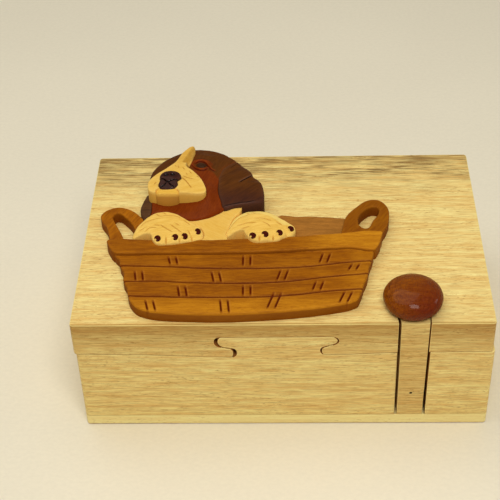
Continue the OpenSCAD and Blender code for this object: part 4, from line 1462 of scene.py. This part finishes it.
def set_eye():
    """The eye: an oval lens with a dull rim, set in the face."""
    top = corners("puppy_eye")[1][2] - EYE_SINK
    cos, sin = math.cos(EYE_TURN), math.sin(EYE_TURN)
    vertices, polygons = [(*EYE, top)], []
    for ring in range(1, EYE_RINGS + 1):
        share_out = ring / EYE_RINGS
        for k in range(EYE_STEPS):
            t = 2 * math.pi * k / EYE_STEPS
            x, y = EYE_HALF[0] * share_out * math.cos(t), EYE_HALF[1] * share_out * math.sin(t)
            vertices.append((EYE[0] + x * cos - y * sin, EYE[1] + x * sin + y * cos,
                             top - EYE_BULGE * share_out**3))
    last = 1 + (EYE_RINGS - 1) * EYE_STEPS
    floor = len(vertices)
    vertices += [(x, y, top - EYE_DEPTH) for x, y, _ in vertices[last:]]
    for k, after in around(EYE_STEPS):
        polygons.append((0, 1 + k, 1 + after))
        for a in range(1, last, EYE_STEPS):
            b = a + EYE_STEPS
            polygons.append((a + k, b + k, b + after, a + after))
    polygons += [(last + k, floor + k, floor + after, last + after) for k, after in around(EYE_STEPS)]
    polygons.append(tuple(floor + k for k in reversed(range(EYE_STEPS))))
    piece = new_piece("eye", [tuple(c * MM for c in vertex) for vertex in vertices], polygons)
    glass = carved_wood("eye_wood", paint(72, 44, 24), paint(36, 18, 10), paint(30, 14, 8), paint(20, 8, 4),
                        ring=1.4, contrast=0.8, pores=0.2, roughness=0.34, coat=0.05, burn=0.0, rubbed_sheen=0.0,
                        shine=0.03)
    dress(piece, glass, "lid", "puppy_eye")


class PUZZLEBOX_OT_head(bpy.types.Operator):
    """Carve the puppy's head"""

    bl_idname = "puzzlebox.head"
    bl_label = "Head"

    def execute(self, context):
        settings = context.scene.puzzle_relief
        step = settings.grid / MM
        for carve_part in (carve_face, carve_brow_and_ears, carve_muzzle_and_chin, carve_nose):
            carve_part(settings, step)
        set_eye()
        return {"FINISHED"}


# ---- Puppy's paws and chest ----------------------------------------------------------------------

PAW_LEFT_DOME = ((-53.4, -3.5), 3.2, 17)
PAW_RIGHT_DOME = ((-10.9, -2.5), 3.2, 17)
PAW_SINK = 0.45
PAW_EDGE, CHEST_EDGE = (0.9, 0.6), (0.6, 0.4)
CLAW_HALF = (1.6, 2.1)
CLAW_HEIGHT = 0.55
CLAW_SINK = 0.1
CLAW_TURN = math.radians(8)
CLAW_SEGMENTS, CLAW_RINGS, CLAW_FLATNESS = 28, 14, 0.55
# How high a toe swells under its claw, the ring round the claw stands, the claw's bed is cut and a nib rises
TOE_RISE, RING_RISE, BED_DEPTH, NIB_RISE = 0.55, 0.22, 0.35, 1.0


def cream_wood(settings, name, turn, pale=None, **more):
    """Cream wood of the muzzle, chest and paws, with golden walls painted darker partly as shade,
    and a painted highlight on its lips and edges.
    """
    looks = {"ring": 2.6, "contrast": 0.7, "pores": 0.3, "rubbed_sheen": 0.5, "burn": 0.75,
             "lip_sheen": paint(255, 232, 160), "wall": paint(206, 146, 48), "darkening": 0.85, **more}
    pore, line = paint(206, 150, 66), paint(172, 112, 34)
    return carved_wood(name, pale or settings.cream, settings.cream_deep, pore, line, turn, **looks)


def toes(p, claws):
    """Toes swell under their claws; each claw sits in a raised ring, its lower left under a nib of wood."""
    height = np.zeros(len(p))
    for x, y in claws:
        ring = oval(p, (x, y), *CLAW_HALF, CLAW_TURN)
        height += TOE_RISE * swell(p, (x, y - 0.6), 2.9, 3.4, CLAW_TURN)
        height += RING_RISE * np.exp(-((ring - 1.35) / 0.22) ** 2) - BED_DEPTH * np.exp(-(ring / 0.95) ** 6)
        height += NIB_RISE * np.exp(-oval(p, (x - 0.9, y - 1.2), 0.55, 0.65) ** 4)
    return height


def paw_left_surface(p):
    height = dome(p, thickness("puppy_paw_left") - PAW_SINK, *PAW_LEFT_DOME)
    return height + toes(p, CLAWS_LEFT) + tool_marks(p, 4, 0.3)


def paw_right_surface(p):
    height = dome(p, thickness("puppy_paw_right") - PAW_SINK, *PAW_RIGHT_DOME)
    chamfer = np.clip(over(p, PAW_RIGHT_CHAMFER), 0, 6)
    return height - 0.16 * chamfer + toes(p, CLAWS_RIGHT) + tool_marks(p, 4, 0.3)


def lit_chamfer(p):
    """Share of painted highlight: the chamfer of the right paw is painted lighter."""
    return ease(over(p, PAW_RIGHT_CHAMFER) / 0.7) * 0.8


def chest_surface(p):
    """The chest, which rises toward the ear."""
    rise = 1.2 * ease((p[:, 0] + 31) / 7) * ease((p[:, 1] - 3) / 6)
    return thickness("puppy_chest") - 0.8 * ease((4 - p[:, 1]) / 12) + 0.35 + rise + tool_marks(p, 5, 0.25)


CLAW_INPUTS = {"Points": "Geometry", "Width": "Float", "Length": "Float", "Height": "Float", "Turn": "Float",
               "Material": "Material"}


def claw_tree():
    """Geometry nodes: a flattened oval claw on each point, in one mesh with its material."""
    tree = bpy.data.node_groups.new("Claw Row", "GeometryNodeTree")
    sockets = {
        label: tree.interface.new_socket(label, in_out="INPUT", socket_type="NodeSocket" + kind).identifier
        for label, kind in CLAW_INPUTS.items()
    }
    tree.interface.new_socket("Claws", in_out="OUTPUT", socket_type="NodeSocketGeometry")
    given = tree.nodes.new("NodeGroupInput").outputs
    result = tree.nodes.new("NodeGroupOutput").inputs
    ball = add(tree, "GeometryNodeMeshUVSphere", {"Segments": CLAW_SEGMENTS, "Rings": CLAW_RINGS,
                                                  "Radius": 1.0}).outputs["Mesh"]
    side = axes(tree, add(tree, "GeometryNodeInputPosition").outputs[0])
    rim = maths(tree, "POWER", maths(tree, "ABSOLUTE", side["Z"]), CLAW_FLATNESS)
    flattened = vector(tree, side["X"], side["Y"], times(tree, rim, maths(tree, "SIGN", side["Z"])))
    claw = add(tree, "GeometryNodeSetPosition", {"Geometry": ball, "Position": flattened}).outputs[0]
    size = vector(tree, given["Width"], given["Length"], given["Height"])
    placed = add(tree, "GeometryNodeInstanceOnPoints", {
        "Points": given["Points"], "Instance": claw, "Scale": size,
        "Rotation": vector(tree, z=given["Turn"])}).outputs[0]
    solid = add(tree, "GeometryNodeRealizeInstances", {"Geometry": placed}).outputs[0]
    smooth_solid = add(tree, "GeometryNodeSetShadeSmooth", {"Geometry": solid}).outputs[0]
    painted = add(tree, "GeometryNodeSetMaterial", {"Geometry": smooth_solid, "Material": given["Material"]})
    tree.links.new(painted.outputs[0], result["Claws"])
    return tree, sockets


def claw_row(name, places, surface, tree, sockets, material):
    """Claws set on a paw, as one plain mesh."""
    at = np.array(places, float)
    heights = LID_Z + surface(at) - CLAW_SINK
    points = bpy.data.meshes.new(name + "_points")
    points.from_pydata([(x * MM, y * MM, z * MM) for (x, y), z in zip(at, heights)], [], [])
    seed = place_object(name + "_points", points)
    maker = seed.modifiers.new("Claw Row", "NODES")
    maker.node_group = tree
    values = {"Width": CLAW_HALF[0] * MM, "Length": CLAW_HALF[1] * MM, "Height": CLAW_HEIGHT * MM,
              "Turn": CLAW_TURN, "Material": material}
    for label, value in values.items():
        maker[sockets[label]] = value
    mesh = plain_mesh(seed)
    bpy.data.objects.remove(seed)
    mesh.name = name
    return place_object(name, mesh)


class PUZZLEBOX_OT_paws(bpy.types.Operator):
    """Carve the puppy's chest and paws and set their claws"""

    bl_idname = "puzzlebox.paws"
    bl_label = "Paws"

    def execute(self, context):
        settings = context.scene.puzzle_relief
        step = settings.grid / MM
        breast = cream_wood(settings, "chest_wood", math.radians(-35), paint(238, 194, 96))
        # The line along the left paw's inner toe is darkened as the toe's painted shadow on the chest
        carve_on_lid("chest", "puppy_chest", breast, "cream_wood", chest_surface, step, CHEST_EDGE,
                     grooves=[Groove(PAW_LEFT_EDGE, 1.2, 0.6, 0.8)])
        # Its lighter tint is the painted highlight on the right paw's chamfer
        cream = cream_wood(settings, "paw_wood", math.radians(10), wall=paint(240, 186, 84),
                           tint=paint(255, 228, 132), tint_deep=paint(246, 206, 106))
        black = paint(46, 8, 4)
        horn = carved_wood("claw_wood", settings.claw, black, black, black, ring=1.2, contrast=0.8, pores=0.3,
                           roughness=0.45, coat=0.02, burn=0.0, rubbed_sheen=0.0, shine=0.04)
        tree, sockets = claw_tree()
        # A shallow line along the chamfer's edge, darkened as painted shade
        chamfer = [Groove(PAW_RIGHT_CHAMFER[:CHAMFER_CUT], 0.7, 0.15, 0.6)]
        paws = (
            ("left", paw_left_surface, PAW_LEFT_TOES, PAW_LEFT_FUR, CLAWS_LEFT, [], None),
            ("right", paw_right_surface, PAW_RIGHT_TOES, PAW_RIGHT_FUR, CLAWS_RIGHT, chamfer, lit_chamfer),
        )
        for side, surface, between_toes, fur, claws, more_grooves, tint in paws:
            grooves = [Groove(line, 0.9, 0.7, 0.5, through=True) for line in between_toes]
            grooves += [Groove(line, 0.8, 0.35, 0.75) for line in fur] + more_grooves
            carve_on_lid("paw_" + side, "puppy_paw_" + side, cream, "cream_wood", surface, step * 0.85,
                         PAW_EDGE, grooves=grooves, tint=tint)
            row = claw_row("claw_row_" + side, claws, surface, tree, sockets, horn)
            dress(row, horn, "lid", "claws_" + side)
        return {"FINISHED"}


# ---- Key -----------------------------------------------------------------------------------------


def lathe(name, profile, middle, axis="Z", steps=96):
    """A closed turned piece: profile is a list of (radius, height) from one pole to the other."""

    def spot(radius, angle, along):
        x, y = radius * math.cos(angle), radius * math.sin(angle)
        out = (x, y, along) if axis == "Z" else (x, along, -y)
        return tuple((m + o) * MM for m, o in zip(middle, out))

    inner = profile[1:-1]
    vertices = [spot(0, 0, profile[0][1])]
    for radius, along in inner:
        vertices += [spot(radius, 2 * math.pi * k / steps, along) for k in range(steps)]
    vertices.append(spot(0, 0, profile[-1][1]))
    last = len(vertices) - 1
    top = last - steps
    polygons = []
    for k, after in around(steps):
        polygons.append((0, 1 + after, 1 + k))
        for a in range(1, top, steps):
            b = a + steps
            polygons.append((a + k, a + after, b + after, b + k))
        polygons.append((top + k, top + after, last))
    return new_piece(name, vertices, polygons, sharp=60)


KNOB_TRIM = 2.6  # height of the ball's cap that is cut off where the knob sits on the key
KNOB_ROWS = 44
KNOB_FULLNESS = 0.94  # below 1 the knob's side is fuller than an oval's
KNOB_SANDING, KNOB_DENT = 0.16, 6  # how much is sanded off, more or less, and how wide each dent is
KNOB_FOOT = 0.5  # nothing is sanded off this low on the knob
BRAD_STEPS = 32


def turn_knob(settings):
    """The knob: a flattened ball with a flat foot, sanded slightly uneven above it."""
    low, high = corners("key_knob")
    radius, bottom, top = (high[0] - low[0]) / 2, low[2], high[2]
    half = (top - bottom + KNOB_TRIM) / 2
    middle = ((low[0] + high[0]) / 2, (low[1] + high[1]) / 2, 0)
    middle_z = top - half
    start = math.asin((bottom - middle_z) / half)
    profile = [(0.0, bottom)]
    for i in range(KNOB_ROWS):
        t = start + (math.pi / 2 - start) * i / KNOB_ROWS
        profile.append((radius * math.cos(t) ** KNOB_FULLNESS, middle_z + half * math.sin(t)))
    profile.append((0.0, top))
    knob = lathe("knob_bead", profile, middle)
    for vertex in knob.data.vertices:
        place = vertex.co / MM
        if place.z > bottom + KNOB_FOOT:
            out = (place - Vector((middle[0], middle[1], middle_z))).normalized()
            vertex.co -= out * MM * (KNOB_SANDING + KNOB_SANDING * noise.noise(place / KNOB_DENT))
    dress(knob, knob_wood(settings), "key", "key_knob")


def set_brad(settings):
    """The brad: its rounded head lies a little under the key's face."""
    low, high = corners("key_pin")
    half, reach = (high[0] - low[0]) / 2, high[1] - low[1]
    head = settings.brad_depth / MM
    profile = [(0.0, head + 0.02), (half * 0.55, head + 0.05), (half * 0.9, head + 0.15),
               (half, head + 0.35), (half, reach - 0.3), (half - 0.25, reach), (0.0, reach)]
    middle = ((low[0] + high[0]) / 2, low[1], (low[2] + high[2]) / 2)
    brad = lathe("brad", profile, middle, axis="Y", steps=BRAD_STEPS)
    dress(brad, brad_steel(settings), "key", "key_pin")


class PUZZLEBOX_OT_key(bpy.types.Operator):
    """Turn the knob, set the brad and finish the dowel"""

    bl_idname = "puzzlebox.key"
    bl_label = "Key"

    def execute(self, context):
        settings = context.scene.puzzle_key
        turn_knob(settings)
        set_brad(settings)
        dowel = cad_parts["knob_dowel"].data
        dowel.materials.clear()
        dowel.materials.append(board_wood(context.scene.puzzle_wood))
        return {"FINISHED"}


# ---- Stage ---------------------------------------------------------------------------------------

CAMERA_PLACE = (4.4, -448.8, 436.8)
CAMERA_AIM = (-15.6, -11.4, 63.0)
CAMERA_ROLL = math.radians(-2.19)
SENSOR_WIDTH = 36
NEAR_LIMIT_M = 0.01
# Each light: place, width, and power as a share of the key light's
LIGHTS = {
    "key_light": ((90, -500, 820), 330, 1.0),
    "overhead_light": ((-220, 100, 800), 800, 0.80),
    "side_light": ((760, 30, 300), 160, 0.10),
}
LIGHT_AIM = (0, 0, 40)
LAMP_WHITE = (1.0, 0.97, 0.90)
DAYLIGHT_WHITE = (1.0, 0.95, 0.85, 1.0)
FLOOR_REACH_M = 3.0
FLOOR_Z_M = -0.0002


def aimed(place, aim, roll=0.0):
    """A matrix that looks from place to aim, rolled about its own axis."""
    place, aim = Vector(place) * MM, Vector(aim) * MM
    turn = (aim - place).to_track_quat("-Z", "Y").to_matrix().to_4x4()
    return Matrix.Translation(place) @ turn @ Matrix.Rotation(roll, 4, "Z")


def floor_paper(settings):
    """Plain matt paper with faint fibres."""
    material, tree, shader, place = new_material("paper_floor")
    fibres = speckle(tree, stretched(tree, place, 2.2, 1.6), detail=4.0)
    clouds = speckle(tree, stretched(tree, place, 260, 190), detail=2.0)
    tone = between(tree, plus(tree, times(tree, fibres, 0.5), times(tree, clouds, 0.5)), 0.35, 0.65)
    feed(tree, shader, {
        "Base Color": blend_colours(tree, tone, toned(settings.floor, 0.93), settings.floor),
        "Roughness": between(tree, clouds, 0.3, 0.7, 0.8, 0.95), "Normal": bump(tree, fibres, 0.1, 0.3),
        "Specular IOR Level": 0.15})
    return material


def lay_floor(settings):
    """A wide sheet of paper just under the box."""
    mesh = bpy.data.meshes.new("floor")
    ends = ((-1, -1), (1, -1), (1, 1), (-1, 1))
    mesh.from_pydata([(x * FLOOR_REACH_M, y * FLOOR_REACH_M, FLOOR_Z_M) for x, y in ends], [], [(0, 1, 2, 3)])
    mesh.materials.append(floor_paper(settings))
    place_object("floor", mesh)


def hang_lights(settings):
    """The soft lamps."""
    for name, (place, width, strength) in LIGHTS.items():
        lamp = bpy.data.lights.new(name, "AREA")
        lamp.size = width * MM
        lamp.energy = settings.key_power * strength
        lamp.color = LAMP_WHITE
        place_object(name, lamp).matrix_world = aimed(place, LIGHT_AIM)


def light_room(scene, settings):
    """Daylight from all round; the camera itself sees the floor's colour there."""
    world = bpy.data.worlds.new("daylight")
    world.use_nodes = True
    tree = world.node_tree
    daylight = tree.nodes["Background"]
    feed(tree, daylight, {"Color": DAYLIGHT_WHITE, "Strength": settings.daylight})
    seen = add(tree, "ShaderNodeBackground", {"Color": settings.floor, "Strength": 1.0}).outputs[0]
    ray = tree.nodes.new("ShaderNodeLightPath").outputs["Is Camera Ray"]
    mixed = add(tree, "ShaderNodeMixShader", {0: ray, 1: daylight.outputs[0], 2: seen})
    feed(tree, tree.nodes["World Output"], {"Surface": mixed.outputs[0]})
    scene.world = world


def place_camera(scene, settings):
    """The camera, in front of the box and above it."""
    camera = bpy.data.cameras.new("camera")
    camera.lens = settings.lens
    camera.sensor_width = SENSOR_WIDTH
    camera.clip_start = NEAR_LIMIT_M
    scene.camera = place_object("camera", camera)
    scene.camera.matrix_world = aimed(CAMERA_PLACE, CAMERA_AIM, CAMERA_ROLL)


class PUZZLEBOX_OT_stage(bpy.types.Operator):
    """Lay the floor, set the lights and place the camera"""

    bl_idname = "puzzlebox.stage"
    bl_label = "Stage"

    def execute(self, context):
        scene, settings = context.scene, context.scene.puzzle_stage
        lay_floor(settings)
        hang_lights(settings)
        light_room(scene, settings)
        place_camera(scene, settings)
        scene.view_settings.view_transform = "Standard"
        return {"FINISHED"}


# ---- Add-on --------------------------------------------------------------------------------------

OPERATORS = [
    PUZZLEBOX_OT_stage, PUZZLEBOX_OT_box, PUZZLEBOX_OT_lining, PUZZLEBOX_OT_basket, PUZZLEBOX_OT_head,
    PUZZLEBOX_OT_paws, PUZZLEBOX_OT_key,
]


class PUZZLEBOX_PT_sidebar(bpy.types.Panel):
    """Everything that dresses the puzzle box"""

    bl_idname = "PUZZLEBOX_PT_sidebar"
    bl_label = "Puzzle Box"
    bl_space_type = "VIEW_3D"
    bl_region_type = "UI"
    bl_category = "Puzzle Box"

    def draw(self, context):
        """A button for each step, and a box of settings for each group."""
        for operator in OPERATORS:
            self.layout.operator(operator.bl_idname)
        for name, group in SETTINGS.items():
            box = self.layout.box()
            for field in group.__annotations__:
                box.prop(getattr(context.scene, name), field)


CLASSES = [*SETTINGS.values(), *OPERATORS, PUZZLEBOX_PT_sidebar]


def register():
    for cls in CLASSES:
        bpy.utils.register_class(cls)
    for name, group in SETTINGS.items():
        setattr(bpy.types.Scene, name, bpy.props.PointerProperty(type=group))


def unregister():
    for name in SETTINGS:
        delattr(bpy.types.Scene, name)
    for cls in reversed(CLASSES):
        bpy.utils.unregister_class(cls)


def main():
    register()
    for operator in OPERATORS:
        name = operator.bl_idname.split(".")[1]
        getattr(bpy.ops.puzzlebox, name)()


if __name__ == "__main__":
    main()
